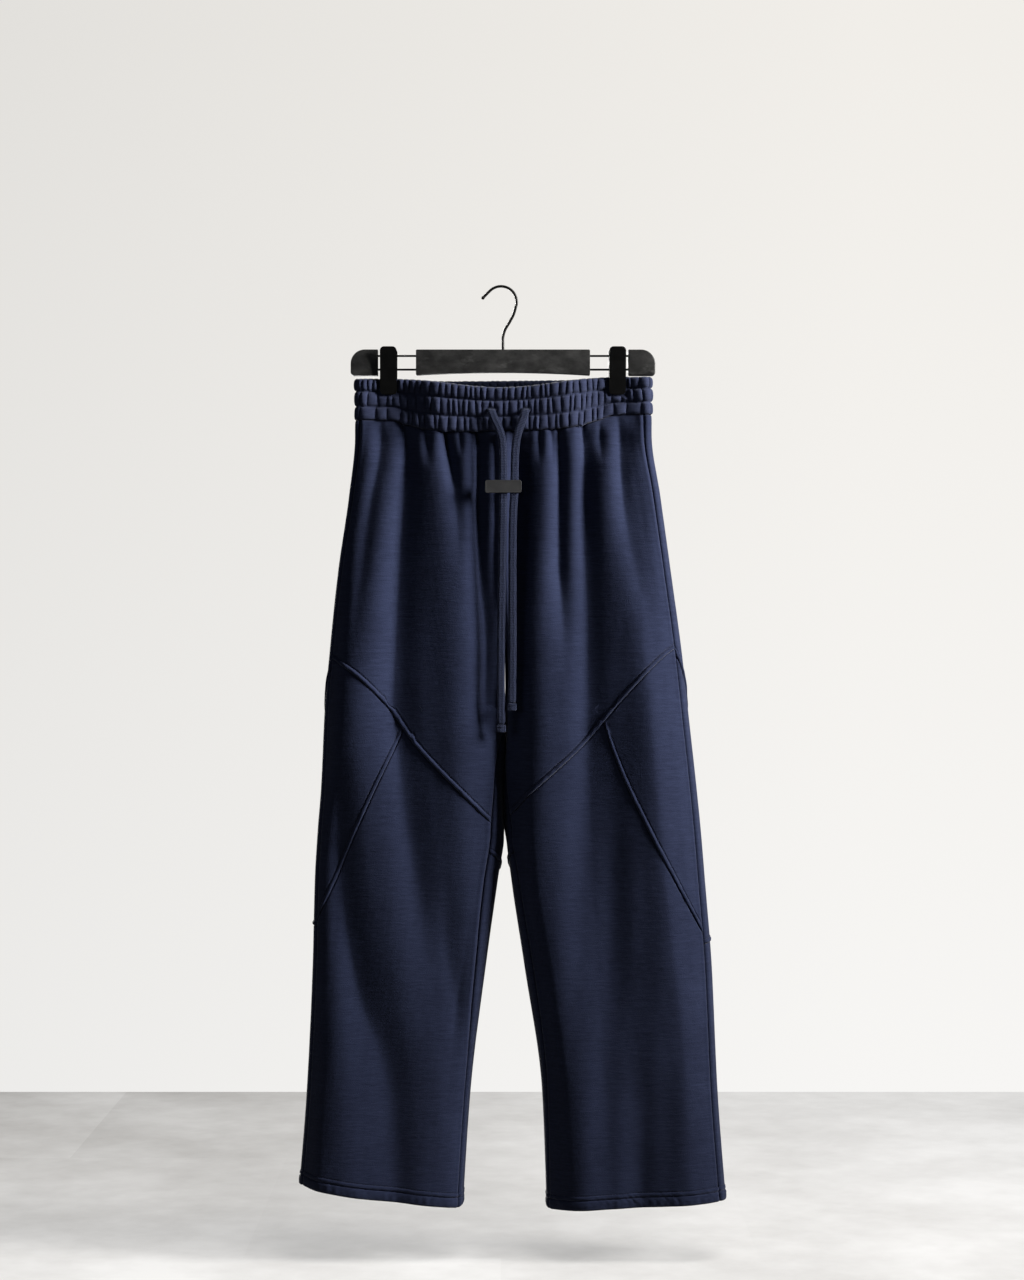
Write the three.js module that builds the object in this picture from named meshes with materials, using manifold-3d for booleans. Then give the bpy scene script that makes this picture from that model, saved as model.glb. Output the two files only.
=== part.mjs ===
// Wide-leg track pants hung by the waistband from a clip hanger.
// Millimetres, +Z up. The wearer's front faces -Y and the wearer's left is +X.
// The origin is the inner top of the hook, where a rail or peg carries the whole thing.
// Every cloth panel is a thin wall on one surface: a rounded plan for each leg, worked out at any
// height from the section tables, with the large folds pushed in or out along the surface normal.
import * as THREE from 'three';
import { mergeVertices } from 'three/addons/utils/BufferGeometryUtils.js';
import Module from 'manifold-3d';

const wasm = await Module();
wasm.setup();

// ---------------------------------------------------------------- cloth sizes
const CLOTH = 2; // thickness of the brushed fleece
const SEAM_GAP = 0.3; // between any two pieces
const HEM_DEPTH = 15; // turned-up hem
const HEM_EXTRA = 1.6; // how much thicker the turned-up cloth is
const HEM_STEP = 1; // height of the step where the turned-up cloth begins
const FACET_EASE = { front: 0.15, back: 0.35 }; // added to a gap where facets don't line up
const SQUARENESS = 3; // exponent of a leg's rounded plan: 2 is an ellipse
const CROTCH_Z = -505;
const RISE_TOP_Z = -190; // above this the centre seams lie flat across
const MIDDLE_X = 2.4; // the garment's middle hangs this far to the left of the hook's crown

// ---------------------------------------------------------------- waistband sizes
const BAND_WALL = 5; // two layers of cloth with elastic between
const BAND_PLAN_Z = -150; // the height whose plan the whole band follows
const BAND_TOP = { left: -107.6, right: -110, frontSag: 12.5, backSag: 0.5 };
const BAND_BOTTOM = { left: -153, right: -160, frontSag: 17, backSag: 10 };
const BAND_REACH = 138; // the band sags between the clips
const PINCH_Z = { open: -215, full: -136 }; // the clips' pinch opens out downwards between these
// The pinch is full up to near and has let go by the share opens at far, measured sideways from a
// clip's middle.
const PINCH = { inwards: { near: 12, far: 66, opens: 1 }, outwards: { near: 12, far: 40, opens: 0.5 } };
const SHIRRING = [0, 0.3, 0.67, 1]; // its edges and two stitch rows, as shares of its height

// ---------------------------------------------------------------- hanger sizes
const CLIP_X = 137.2; // from the middle to each clip's middle
const CLIP_WIDTH = 20;
const CLIP_TOP = -71.8;
const CLIP_BOTTOM = -128.8;
const GRIP_Y = 2.7; // middle of the band's wall where a jaw grips it
const ROD_RADIUS = 1.25;
const ROD_HEIGHTS = { upper: -82, lower: -98.4 };
const BORE_GAP = 0.3; // clearance round a rod or pin
// the bar's lower edge arches up from its ends to its middle
const BAR = { half: 104.3, top: -74.8, ends: -105.4, middle: -102, depth: 12, corner: 3 };
const END_BLOCK = {
  inside: 150, outside: 182.5, top: -74.8, bottom: -105.8, corner: 17, foot: 4, depth: 13,
};
// the crown is an arc of radius about the hook's middle, between two angles in degrees
const HOOK = { wire: 3.2, radius: 18.8, crownFrom: -20, crownTo: 135, tail: 14, tip: 4.2 };
// x, z of the shank and the bend below the crown, from the bar up
const SHANK = [[MIDDLE_X, -68], [MIDDLE_X, -60], [4.4, -52], [10.8, -40.6], [15, -32.5]];
const HOOK_SEAT = 5; // how deep the shank stands in the bar, clear of the upper rod
const ROD_END = 174; // from the middle to each rod's end
const PIVOT_Z = (ROD_HEIGHTS.upper + ROD_HEIGHTS.lower) / 2; // where a clip's jaws turn
const PIN_RADIUS = 1.1;
const PIN_HALF = 9.8;
const SLIDER = { half: 6.2, depth: 11.6, top: -77, bottom: -104.5, corner: 1.5, ease: 0.6 };
// a jaw's lug on the pin: how far it reaches to the jaw and past the pin, and its half heights there
const LUG = { reach: 8, past: 2.8, halfAtJaw: 3.2, halfPast: 2.4 };
const LUGS_X = { front: [6.5, 8], back: [8.3, 9.8] }; // a pair of lugs' edges from the clip's middle

// Side view of a jaw. out is the distance from the cloth's middle plane.
const JAW_INSIDE = GRIP_Y + BAND_WALL / 2 + SEAM_GAP;
const JAW = [
  { out: JAW_INSIDE, z: CLIP_BOTTOM },
  { out: 8.2, z: CLIP_BOTTOM },
  { out: 9, z: -118 },
  { out: 10.2, z: -100 },
  { out: 11, z: -88 },
  { out: 14, z: CLIP_TOP },
  { out: 11.4, z: CLIP_TOP },
  { out: 8.2, z: -86 },
  { out: 7.2, z: -92 },
  { out: 7.2, z: -104 },
  { out: JAW_INSIDE, z: -109 },
];

// ---------------------------------------------------------------- drawcord sizes
const CORD = { width: 9.5, thickness: 3, ease: 0.9, steps: 36 };
const CORD_END = { width: 11.5, thickness: 4.6, height: 9.5, corner: 1.2 };
// the keeper's slot runs across it from slotFrom to slotTo
const KEEPER = {
  x: 0.4, y: -34.2, z: -240.5, width: 43, height: 15, depth: 7, corner: 2.4, slotFrom: -6.4, slotTo: 20.6,
};
const SLOT_EASE = 1; // how much deeper the slot is than a cord

// Where each cord runs, from its buttonhole down over the front and free to its end.
const CORD_ROUTES = {
  right: [
    [-14, -21.1, -148.5], [-14, -23.9, -148.8], [-12.8, -25.9, -153], [-9, -26.5, -162],
    [-4.5, -27, -172], [-1.2, -27.8, -184], [0, -29.3, -200], [0.2, -31.6, -218], [0.2, -34.1, -234],
    [0.2, -34.3, -250], [0, -36.2, -272], [-0.4, -37.8, -300], [-0.9, -39.5, -335],
    [-1.6, -40.8, -375], [-2.2, -42, -420], [-2.4, -43.2, -465], [-2.3, -43.9, -500],
    [-2.1, -44, -522.6],
  ],
  left: [
    [27, -21.1, -148.3], [27, -23.9, -148.6], [25.8, -25.9, -153.2], [22.4, -26.5, -163],
    [18.6, -27.1, -174], [15.8, -27.9, -187], [14.4, -29.4, -202], [13.9, -31.7, -219],
    [13.8, -34.1, -234], [13.2, -34.3, -250], [12, -36.3, -272], [11.4, -38.1, -300],
    [11.2, -39.9, -335], [11.2, -41.2, -375], [11.3, -42.4, -420], [11, -43.3, -460],
    [10.6, -43.9, -497],
  ],
};

// One row for each section. outer and inner are the leg's widest and narrowest outline, measured
// outwards from the garment's middle; inset is how far the inseam lies inside the inner outline;
// front and back are the half depths.
const LEGS = {
  left: {
    sign: 1,
    sideInset: 8,
    sections: [
      { z: -100, outer: 177, inner: 0, inset: 0, front: 17, back: 28 },
      { z: -175, outer: 177.5, inner: 0, inset: 0, front: 19, back: 28 },
      { z: -250, outer: 188.5, inner: 0, inset: 0, front: 29, back: 34 },
      { z: -340, outer: 201, inner: 0, inset: 0, front: 38, back: 41 },
      { z: -440, outer: 214.5, inner: 1, inset: 0, front: 44, back: 47 },
      { z: -505, outer: 221.5, inner: 1.5, inset: 0, front: 46, back: 48 },
      { z: -600, outer: 232, inner: 2.4, inset: 3, front: 44, back: 46 },
      { z: -650, outer: 237, inner: 3.2, inset: 5, front: 43, back: 45 },
      { z: -710, outer: 242, inner: 9.8, inset: 8.2, front: 41, back: 44 },
      { z: -810, outer: 250, inner: 25, inset: 9.5, front: 40, back: 42 },
      { z: -960, outer: 257, inner: 46.5, inset: 5.3, front: 40, back: 41 },
      { z: -1110, outer: 268.5, inner: 52.5, inset: 2.8, front: 41, back: 41 },
    ],
    // out is the distance from the middle, on the front of the leg
    thighSeam: [
      { out: 220, z: -424 },
      { out: 190, z: -443 },
      { out: 144, z: -491 },
      { out: 100, z: -543 },
      { out: 49, z: -592 },
      { out: 5, z: -635 },
    ],
    kneeSeam: [
      { out: 131, z: -558 },
      { out: 169.5, z: -645 },
      { out: 211, z: -726 },
      { out: 245, z: -785 },
      { out: 256, z: -804 },
    ],
    seamsMeetAt: 119.5,
    hem: [
      { u: 0, z: -1091 },
      { u: 0.25, z: -1094 },
      { u: 0.7, z: -1098.5 },
      { u: 1, z: -1101 },
    ],
    backThighTop: -442,
    backKneeEnd: -785,
  },
  right: {
    sign: -1,
    sideInset: 4.5,
    sections: [
      { z: -100, outer: 176, inner: 0, inset: 0, front: 17, back: 28 },
      { z: -175, outer: 176.5, inner: 0, inset: 0, front: 19, back: 28 },
      { z: -250, outer: 184.5, inner: 0, inset: 0, front: 29, back: 34 },
      { z: -340, outer: 197.5, inner: 0, inset: 0, front: 38, back: 41 },
      { z: -440, outer: 208, inner: -1, inset: 0, front: 44, back: 47 },
      { z: -505, outer: 213.5, inner: -1.5, inset: 0, front: 46, back: 48 },
      { z: -600, outer: 218, inner: -2.1, inset: 11.5, front: 45, back: 46 },
      { z: -650, outer: 222, inner: -2.2, inset: 15.5, front: 44, back: 45 },
      { z: -710, outer: 225.5, inner: 6, inset: 15, front: 43, back: 44 },
      { z: -810, outer: 228, inner: 20, inset: 11, front: 42, back: 42 },
      { z: -960, outer: 235, inner: 38.5, inset: 5.5, front: 42, back: 41 },
      { z: -1110, outer: 247, inner: 48.5, inset: 5.5, front: 43, back: 41 },
    ],
    thighSeam: [
      { out: 215, z: -437 },
      { out: 176, z: -463.5 },
      { out: 136.5, z: -505 },
      { out: 102.5, z: -550.5 },
      { out: 51.5, z: -603.5 },
      { out: 5, z: -650 },
    ],
    kneeSeam: [
      { out: 131.5, z: -558 },
      { out: 157.5, z: -613 },
      { out: 192, z: -689 },
      { out: 223, z: -762 },
      { out: 232, z: -783 },
    ],
    seamsMeetAt: 118,
    hem: [
      { u: 0, z: -1072 },
      { u: 0.15, z: -1077 },
      { u: 0.4, z: -1085 },
      { u: 0.7, z: -1092 },
      { u: 1, z: -1099 },
    ],
    backThighTop: -457,
    backKneeEnd: -764,
  },
};

// u is a share of the front's or the back's width: 0 at the side seam, 1 at the inseam.
const BACK_MEET_U = 0.52; // where the back's thigh seam meets its knee seam
const BACK_KNEE_IN_Z = -676; // height of the back knee seam at the inseam
const BACK_KNEE_BOW = 24; // how far the back knee seam bows down between its ends
const BACK_THIGH_BOW = 0.15; // how far the back thigh seam bends from a straight line, as a share
const WRAP_U = 0.14; // the back panels turn the corner of the leg within this u of their edges
const TIP_U = 0.012; // how far short of the meeting point a side panel's tip stops

// Heights that the panels' corner points share, close together where the cloth turns under.
const LEVELS = [
  -190, -210, -240, -280, -325, -375, -430, -485, -540, -600, -665, -735, -815, -905, -1000,
];
const CROTCH_LEVELS = [-452, -493, -502, -505, -510, -625, -642];
const CROTCH_COLUMNS_U = 0.9; // only the columns beyond this u need the crotch's levels
const LEVEL_CLEAR = 4; // a level this near a panel's end is left out
// how many columns a panel has between its edges and its seams' meeting points
const FRONT_COLUMNS = { sideToMeet: 11, meetToInseam: 11 };
const BACK_COLUMNS = { sideWrap: 7, wrapToMeet: 7, meetToWrap: 5, inseamWrap: 4 };
const PLAN_STEPS = 64; // chords that a plan's length is measured along
const BAND_STEPS = 480; // chords of half the band's plan
const BAND_COLUMNS = 76;
const SETTLE_ROUNDS = 14;
const SEARCH_ROUNDS = 24;

const FOLD_FADE = { from: 2, to: 26 }; // distance from an outline over which the folds die out
const CREASE_POINT = 0.02; // how rounded the bottom of a crease is
const CREASE_POWER = 1.5; // how it opens out beside its bottom

/** One crease running down the cloth: its columns are height, x, depth and its half widths. */
const crease = (...rows) => rows.map(([z, x, depth, left, right]) => ({ z, x, depth, left, right }));

const FRONT_CREASES = [
  crease(
    [-152, -117, 2, 8, 9], [-170, -116, 6, 9, 11], [-186, -115.5, 9, 10, 13],
    [-245, -118, 15, 12, 27], [-328, -123, 18, 15, 36], [-423, -127, 18, 18, 45],
    [-494, -130, 18, 20, 50], [-565, -121, 15, 24, 50], [-636, -113, 13, 28, 46],
    [-707, -102, 11, 30, 46], [-778, -90, 9, 34, 44], [-850, -80, 7, 34, 40], [-920, -72, 3, 30, 36],
    [-990, -66, 0, 28, 36],
  ),
  crease(
    [-156, -69, 2, 5, 8], [-172, -69, 7, 5, 10], [-186, -68, 12, 6, 11], [-222, -62, 10, 7, 13],
    [-250, -57, 7, 8, 13], [-290, -53, 3, 9, 13], [-340, -51, 0, 9, 13],
  ),
  crease(
    [-158, -33, 2, 5, 8], [-172, -32, 8, 7, 12], [-186, -31, 14, 8, 20], [-257, -31, 15, 8, 20],
    [-330, -28, 15, 10, 20], [-399, -20, 15, 14, 20], [-446, -16, 15, 14, 18],
    [-494, -14, 14, 14, 16], [-545, -12, 0, 14, 14],
  ),
  crease(
    [-176, -9, 0, 4, 6], [-190, -8.5, 4, 5, 8], [-257, -8.3, 5, 5, 10], [-330, -9, 4, 6, 10],
    [-399, -9, 0, 8, 10],
  ),
  crease(
    [-162, 13, 2, 6, 8], [-174, 13, 8, 8, 13], [-190, 15, 12, 10, 18], [-245, 17, 16, 10, 18],
    [-328, 15, 15, 10, 17], [-423, 11, 10, 12, 12], [-494, 7, 5, 12, 11], [-545, 4, 0, 12, 12],
  ),
  crease(
    [-158, 66.4, 2, 4, 7], [-172, 66.6, 8, 5, 9], [-186, 67, 10, 7, 11], [-245, 67, 13, 8, 14],
    [-328, 67, 13, 10, 15], [-399, 71, 7, 12, 16], [-440, 74, 3, 14, 18], [-490, 76, 0, 14, 18],
  ),
  crease(
    [-152, 97, 3, 6, 10], [-170, 97.5, 9, 7, 15], [-186, 98, 13, 8, 19], [-245, 97, 14, 9, 20],
    [-300, 98, 15, 11, 26], [-350, 100, 15, 14, 34], [-423, 102, 14, 18, 46], [-494, 102, 12, 20, 50],
    [-565, 103, 11, 24, 54], [-636, 105, 10, 26, 60], [-778, 112, 9, 30, 66], [-850, 116, 8, 34, 70],
    [-920, 120, 7, 34, 66], [-1010, 128, 5, 32, 60], [-1110, 134, 4, 30, 56],
  ),
  crease(
    [-290, 168, 0, 30, 20], [-350, 166, -4, 36, 22], [-423, 164, -9, 44, 24],
    [-494, 170, -11, 50, 26], [-636, 182, -12, 56, 26], [-778, 196, -11, 62, 26],
    [-920, 206, -8, 62, 26], [-1110, 214, -6, 60, 26],
  ),
  crease(
    [-450, 34, 0, 16, 50], [-520, 36, -6, 16, 60], [-636, 38, -8, 16, 60], [-710, 44, -8, 18, 60],
    [-810, 60, -8, 18, 60], [-960, 80, -7, 18, 56], [-1110, 88, -5, 18, 56],
  ),
  crease(
    [-290, -170, 0, 20, 30], [-423, -186, -5, 18, 40], [-540, -200, -6, 18, 44],
    [-680, -206, 0, 18, 40],
  ),
  crease(
    [-850, -205, 0, 26, 40], [-950, -210, -4, 24, 50], [-1110, -212, -6, 24, 60],
  ),
  crease(
    [-150, 139, 2, 6, 9], [-170, 140, 8, 7, 13], [-186, 141, 11, 8, 16], [-222, 142, 11, 9, 18],
    [-257, 145, 10, 11, 20], [-304, 152, 7, 14, 22], [-352, 163, 5, 16, 22], [-423, 176, 2, 18, 20],
    [-480, 184, 0, 16, 18],
  ),
  crease(
    [-148, -147, 1, 6, 8], [-170, -147, 5, 7, 10], [-186, -147, 7, 8, 13], [-257, -157, 6, 12, 16],
    [-328, -166, 5, 14, 18], [-390, -174, 3, 14, 18], [-460, -182, 0, 14, 18],
  ),
  crease(
    [-560, -190, 0, 20, 34], [-636, -196, 6, 18, 44], [-707, -192, 8, 20, 46],
    [-778, -184, 11, 20, 46], [-850, -168, 12, 26, 46], [-920, -142, 12, 34, 42],
    [-990, -132, 10, 38, 40], [-1060, -128, 8, 38, 38], [-1110, -126, 6, 36, 36],
  ),
  crease(
    [-920, 172, 0, 24, 30], [-990, 170, 4, 26, 34], [-1060, 166, 6, 28, 34], [-1110, 166, 5, 28, 34],
  ),
];

const BACK_CREASES = [
  crease(
    [-148, -146, 2, 6, 9], [-190, -147, 9, 9, 14], [-270, -152, 4, 12, 16], [-340, -158, 0, 12, 16],
  ),
  crease(
    [-156, -98, 3, 7, 10], [-190, -98, 14, 9, 22], [-280, -94, 17, 12, 32], [-380, -84, 13, 16, 40],
    [-470, -78, 8, 20, 44], [-560, -76, 0, 20, 40],
  ),
  crease(
    [-160, -58, 1, 5, 7], [-186, -58, 7, 6, 10], [-240, -56, 0, 8, 12],
  ),
  crease(
    [-160, -34, 2, 6, 8], [-190, -34, 11, 8, 16], [-280, -31, 12, 10, 20], [-370, -28, 6, 12, 20],
    [-440, -26, 0, 12, 20],
  ),
  crease(
    [-160, 36, 2, 6, 8], [-190, 36, 11, 9, 14], [-290, 34, 12, 12, 18], [-390, 31, 5, 14, 18],
    [-450, 30, 0, 14, 18],
  ),
  crease(
    [-160, 62, 1, 5, 7], [-186, 62, 6, 6, 10], [-235, 63, 0, 8, 12],
  ),
  crease(
    [-154, 90, 3, 7, 10], [-190, 90, 14, 9, 22], [-290, 94, 15, 12, 30], [-390, 98, 11, 16, 38],
    [-470, 101, 6, 20, 40], [-560, 104, 0, 20, 40],
  ),
  crease(
    [-146, 146, 2, 6, 9], [-190, 147, 9, 9, 13], [-270, 152, 4, 12, 15], [-340, 160, 0, 12, 15],
  ),
  crease(
    [-540, -118, 0, 20, 34], [-680, -110, 9, 24, 46], [-860, -124, 11, 28, 48],
    [-1110, -132, 6, 30, 42],
  ),
  crease(
    [-540, 112, 0, 20, 40], [-680, 118, 10, 26, 54], [-860, 134, 12, 30, 54], [-1110, 146, 6, 30, 46],
  ),
];

// ---------------------------------------------------------------- small helpers
const { clamp, lerp, smoothstep } = THREE.MathUtils;

/** Monotone cubic through one named column of a table whose key column rises or falls steadily. */
function along(rows, key, column, at) {
  const last = rows.length - 1;
  const direction = Math.sign(rows[last][key] - rows[0][key]);
  let i = 0;
  while (i < last - 1 && (at - rows[i + 1][key]) * direction > 0) i += 1;
  const secant = (k) => (rows[k + 1][column] - rows[k][column]) / (rows[k + 1][key] - rows[k][key]);
  const slope = (k) => {
    if (k === 0) return secant(0);
    if (k === last) return secant(last - 1);
    const [before, after] = [secant(k - 1), secant(k)];
    return before * after > 0 ? (2 * before * after) / (before + after) : 0;
  };
  const span = rows[i + 1][key] - rows[i][key];
  const t = clamp((at - rows[i][key]) / span, 0, 1);
  const [t2, t3] = [t * t, t * t * t];
  return (2 * t3 - 3 * t2 + 1) * rows[i][column] + (t3 - 2 * t2 + t) * span * slope(i)
    + (3 * t2 - 2 * t3) * rows[i + 1][column] + (t3 - t2) * span * slope(i + 1);
}

/** Evenly spaced numbers from one value to another. */
const spread = (from, to, count) => Array.from({ length: count + 1 }, (_, i) => lerp(from, to, i / count));

/** Signed power, which keeps the sign of what it raises. */
const signedPower = (value, power) => Math.sign(value) * Math.abs(value) ** power;

/** Height of the waistband's upper or lower edge at x, on the front or the back. */
function bandEdge(edge, x, face) {
  const ends = lerp(edge.right, edge.left, clamp((x + BAND_REACH) / (2 * BAND_REACH), 0, 1));
  const t = clamp(Math.abs(x) / BAND_REACH, 0, 1);
  const droop = edge === BAND_TOP ? (1 + Math.cos(Math.PI * t)) / 2 : (1 - t ** 5) ** 2;
  return ends - droop * (face === 'front' ? edge.frontSag : edge.backSag);
}

// ---------------------------------------------------------------- the cloth surface
/** Depth of the centre seam as a share of the leg's depth: 1 at the waist, 0 at the crotch. */
function riseShare(z) {
  const t = clamp((RISE_TOP_Z - z) / (RISE_TOP_Z - CROTCH_Z), 0, 1);
  return Math.sqrt(1 - t ** 3);
}

/** The plan of one leg at height z, with the angles of its side seam and inseam. */
function sectionAt(side, z) {
  const leg = LEGS[side];
  const column = (name) => along(leg.sections, 'z', name, z);
  const share = riseShare(z);
  const outer = column('outer') - CLOTH / 2;
  const inner = column('inner') + SEAM_GAP / 2 + (CLOTH / 2) * (1 - share ** 2);
  const half = (outer - inner) / 2;
  const angleAt = (inset) => Math.acos(clamp(1 - inset / half, 0, 1) ** (SQUARENESS / 2));
  return {
    sign: leg.sign,
    z,
    share,
    middle: (outer + inner) / 2,
    half,
    front: column('front'),
    back: column('back'),
    sideAngle: angleAt(leg.sideInset),
    inseamAngle: Math.PI - angleAt(column('inset')),
  };
}

/** How firmly the clips pinch the front and back together at x, z. */
function pinch(x, z) {
  const off = Math.abs(x) - CLIP_X;
  const { near, far, opens } = off < 0 ? PINCH.inwards : PINCH.outwards;
  return (1 - opens * smoothstep(Math.abs(off), near, far)) * smoothstep(z, PINCH_Z.open, PINCH_Z.full);
}

/** Sum of the creases at x, z: a trough presses the cloth in (below 0), a crest lifts it (above 0). */
function creasePush(creases, x, z) {
  let push = 0;
  for (const rows of creases) {
    if (z >= rows[0].z || z <= rows[rows.length - 1].z) continue;
    const off = x - along(rows, 'z', 'x', z);
    const t = off / along(rows, 'z', off < 0 ? 'left' : 'right', z);
    const from = Math.sqrt(t * t + CREASE_POINT) - CREASE_POINT;
    push -= along(rows, 'z', 'depth', z) * Math.exp(-(from ** CREASE_POWER));
  }
  return push;
}

/** Point of a leg's plan at an angle: 0 is the outer extreme, +-PI the inner, front positive. */
function planPoint(section, angle) {
  const c = Math.cos(angle);
  const out = section.middle + section.half * signedPower(c, 2 / SQUARENESS);
  const x = section.sign * out;
  const flat = c < 0 ? section.share ** SQUARENESS : 0;
  const onFront = Math.sin(angle) >= 0;
  const free = (onFront ? section.front : section.back)
    * Math.max(1 - (1 - flat) * c * c, 0) ** (1 / SQUARENESS);
  const held = pinch(x, section.z);
  const depth = lerp(free, Math.min(free, GRIP_Y), held);
  return new THREE.Vector3(x, onFront ? -depth : depth, section.z);
}

/** Share of a fold left at x: it dies out at the outline, where the cloth turns, and at the clips. */
function foldReach(section, x) {
  const fade = (distance) => smoothstep(distance, FOLD_FADE.from, FOLD_FADE.to);
  const outerFade = fade(section.middle + section.half - section.sign * x);
  const innerFade = fade(section.sign * x - (section.middle - section.half));
  return outerFade * lerp(innerFade, 1, section.share) * (1 - pinch(x, section.z) ** 2);
}

/** Middle of the cloth at a height and plan angle, folds included. */
function clothPoint(side, z, angle) {
  const section = sectionAt(side, z);
  const limit = section.share > 0 ? Math.PI : Infinity;
  const held = (value) => clamp(value, -limit, limit);
  const at = planPoint(section, held(angle));
  const ahead = planPoint(section, held(angle + 0.01));
  const behind = planPoint(section, held(angle - 0.01));
  const outwards = new THREE.Vector3(behind.y - ahead.y, ahead.x - behind.x, 0).normalize();
  outwards.multiplyScalar(section.sign);
  const creases = Math.sin(angle) >= 0 ? FRONT_CREASES : BACK_CREASES;
  return at.addScaledVector(outwards, creasePush(creases, at.x, z) * foldReach(section, at.x));
}

/** Normal of the cloth, pointing away from the wearer. */
function clothNormal(side, z, angle) {
  const section = sectionAt(side, z);
  const limit = section.share > 0 ? Math.PI : Infinity;
  const held = (value) => clamp(value, -limit, limit);
  const round = clothPoint(side, z, held(angle + 0.02)).sub(clothPoint(side, z, held(angle - 0.02)));
  const down = clothPoint(side, z - 1, angle).sub(clothPoint(side, z + 1, angle));
  return round.cross(down).normalize().multiplyScalar(LEGS[side].sign);
}

/** Length of the front or back of a leg's plan, and the angle at a share of that length. */
function rule(side, z, face) {
  const section = sectionAt(side, z);
  const inseam = section.share === 0 ? section.inseamAngle : Math.PI;
  const end = face === 'front' ? inseam : inseam - 2 * Math.PI;
  const angles = spread(section.sideAngle, end, PLAN_STEPS);
  const points = angles.map((angle) => planPoint(section, angle));
  const lengths = [0];
  for (let i = 1; i <= PLAN_STEPS; i += 1) {
    lengths.push(lengths[i - 1] + points[i].distanceTo(points[i - 1]));
  }
  const length = lengths[PLAN_STEPS];
  const angleAt = (u) => {
    const wanted = clamp(u, 0, 1) * length;
    let i = 1;
    while (i < PLAN_STEPS && lengths[i] < wanted) i += 1;
    const t = (wanted - lengths[i - 1]) / (lengths[i] - lengths[i - 1]);
    return lerp(angles[i - 1], angles[i], t);
  };
  const outAt = (u) => section.sign * planPoint(section, angleAt(u)).x;
  return { length, angleAt, outAt };
}

// ---------------------------------------------------------------- seams, as a height at each u
/** Settles a height that depends on the x it is at. */
function settle(side, face, u, heightAt, start = -500) {
  let z = start;
  for (let i = 0; i < SETTLE_ROUNDS; i += 1) z = heightAt(rule(side, z, face).outAt(u));
  return z;
}

const waistSeam = (side, face) => (u) => settle(
  side, face, u, (out) => bandEdge(BAND_BOTTOM, LEGS[side].sign * out, face), -170,
);

const frontThigh = (side) => (u) => settle(
  side, 'front', u, (out) => along(LEGS[side].thighSeam.toReversed(), 'out', 'z', out),
);

const frontKnee = (side) => {
  const { thighSeam, kneeSeam, seamsMeetAt } = LEGS[side];
  const start = { out: seamsMeetAt, z: along(thighSeam.toReversed(), 'out', 'z', seamsMeetAt) };
  return (u) => settle(side, 'front', u, (out) => along([start, ...kneeSeam], 'out', 'z', out), -600);
};

/** The u at which the front's two seams meet. */
function frontMeet(side) {
  let [low, high] = [0, 1];
  for (let i = 0; i < SEARCH_ROUNDS; i += 1) {
    const u = (low + high) / 2;
    const out = rule(side, frontThigh(side)(u), 'front').outAt(u);
    if (out > LEGS[side].seamsMeetAt) low = u;
    else high = u;
  }
  return (low + high) / 2;
}

const backKnee = (side) => (u) => lerp(LEGS[side].backKneeEnd, BACK_KNEE_IN_Z, u)
  - BACK_KNEE_BOW * Math.sin(Math.PI * u);

const backThigh = (side) => (u) => {
  const t = u / BACK_MEET_U;
  const bent = t - BACK_THIGH_BOW * t * (1 - t);
  return lerp(LEGS[side].backThighTop, backKnee(side)(BACK_MEET_U), bent);
};

const hemLine = (side) => (u) => along(LEGS[side].hem, 'u', 'z', u);

// ---------------------------------------------------------------- solids
/** A closed geometry from corner points and triangles, turned so that its faces point outwards. */
function closedSolid(points, triangles) {
  const geometry = new THREE.BufferGeometry();
  const positions = points.flatMap((point) => point.toArray());
  geometry.setAttribute('position', new THREE.Float32BufferAttribute(positions, 3));
  let volume = 0;
  for (const [a, b, c] of triangles) {
    volume += points[a].dot(new THREE.Vector3().crossVectors(points[b], points[c]));
  }
  const faces = volume > 0 ? triangles : triangles.map(([a, b, c]) => [a, c, b]);
  geometry.setIndex(faces.flat());
  return geometry;
}

/** A wall from columns of paired outside and inside points, each column from the top down. */
function wall(columns, wraps = false) {
  const points = [];
  const columnsOut = columns.map((column) => column.map(({ outside, inside }) => {
    points.push(outside, inside);
    return points.length - 2;
  }));
  const triangles = [];
  const sheet = (a, b, c) => triangles.push([a, b, c], [b + 1, a + 1, c + 1]);
  const edge = (a, b) => triangles.push([b, a, a + 1], [b, a + 1, b + 1]);
  const pairs = wraps ? columns.length : columns.length - 1;
  for (let k = 0; k < pairs; k += 1) {
    const [a, b] = [columnsOut[k], columnsOut[(k + 1) % columns.length]];
    let [i, j] = [0, 0];
    while (i < a.length - 1 || j < b.length - 1) {
      const onA = j === b.length - 1 || (i < a.length - 1 && points[a[i + 1]].z >= points[b[j + 1]].z);
      sheet(a[i], b[j], onA ? a[i + 1] : b[j + 1]);
      if (onA) i += 1;
      else j += 1;
    }
    edge(a[0], b[0]);
    edge(b.at(-1), a.at(-1));
  }
  if (!wraps) {
    const [first, last] = [columnsOut[0], columnsOut.at(-1)];
    for (let i = 1; i < first.length; i += 1) edge(first[i], first[i - 1]);
    for (let i = 1; i < last.length; i += 1) edge(last[i - 1], last[i]);
  }
  return closedSolid(points, triangles);
}

/** Half of a seam's gap, measured down the cloth, where the seam runs at a slope. */
function gapDown(side, face, height, u) {
  const step = 0.01;
  const from = Math.max(u - step, 0);
  const to = Math.min(u + step, 1);
  const run = rule(side, height(u), face).length * (to - from);
  const half = (SEAM_GAP + FACET_EASE[face]) / 2;
  return half * Math.hypot(1, (height(to) - height(from)) / run);
}

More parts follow.
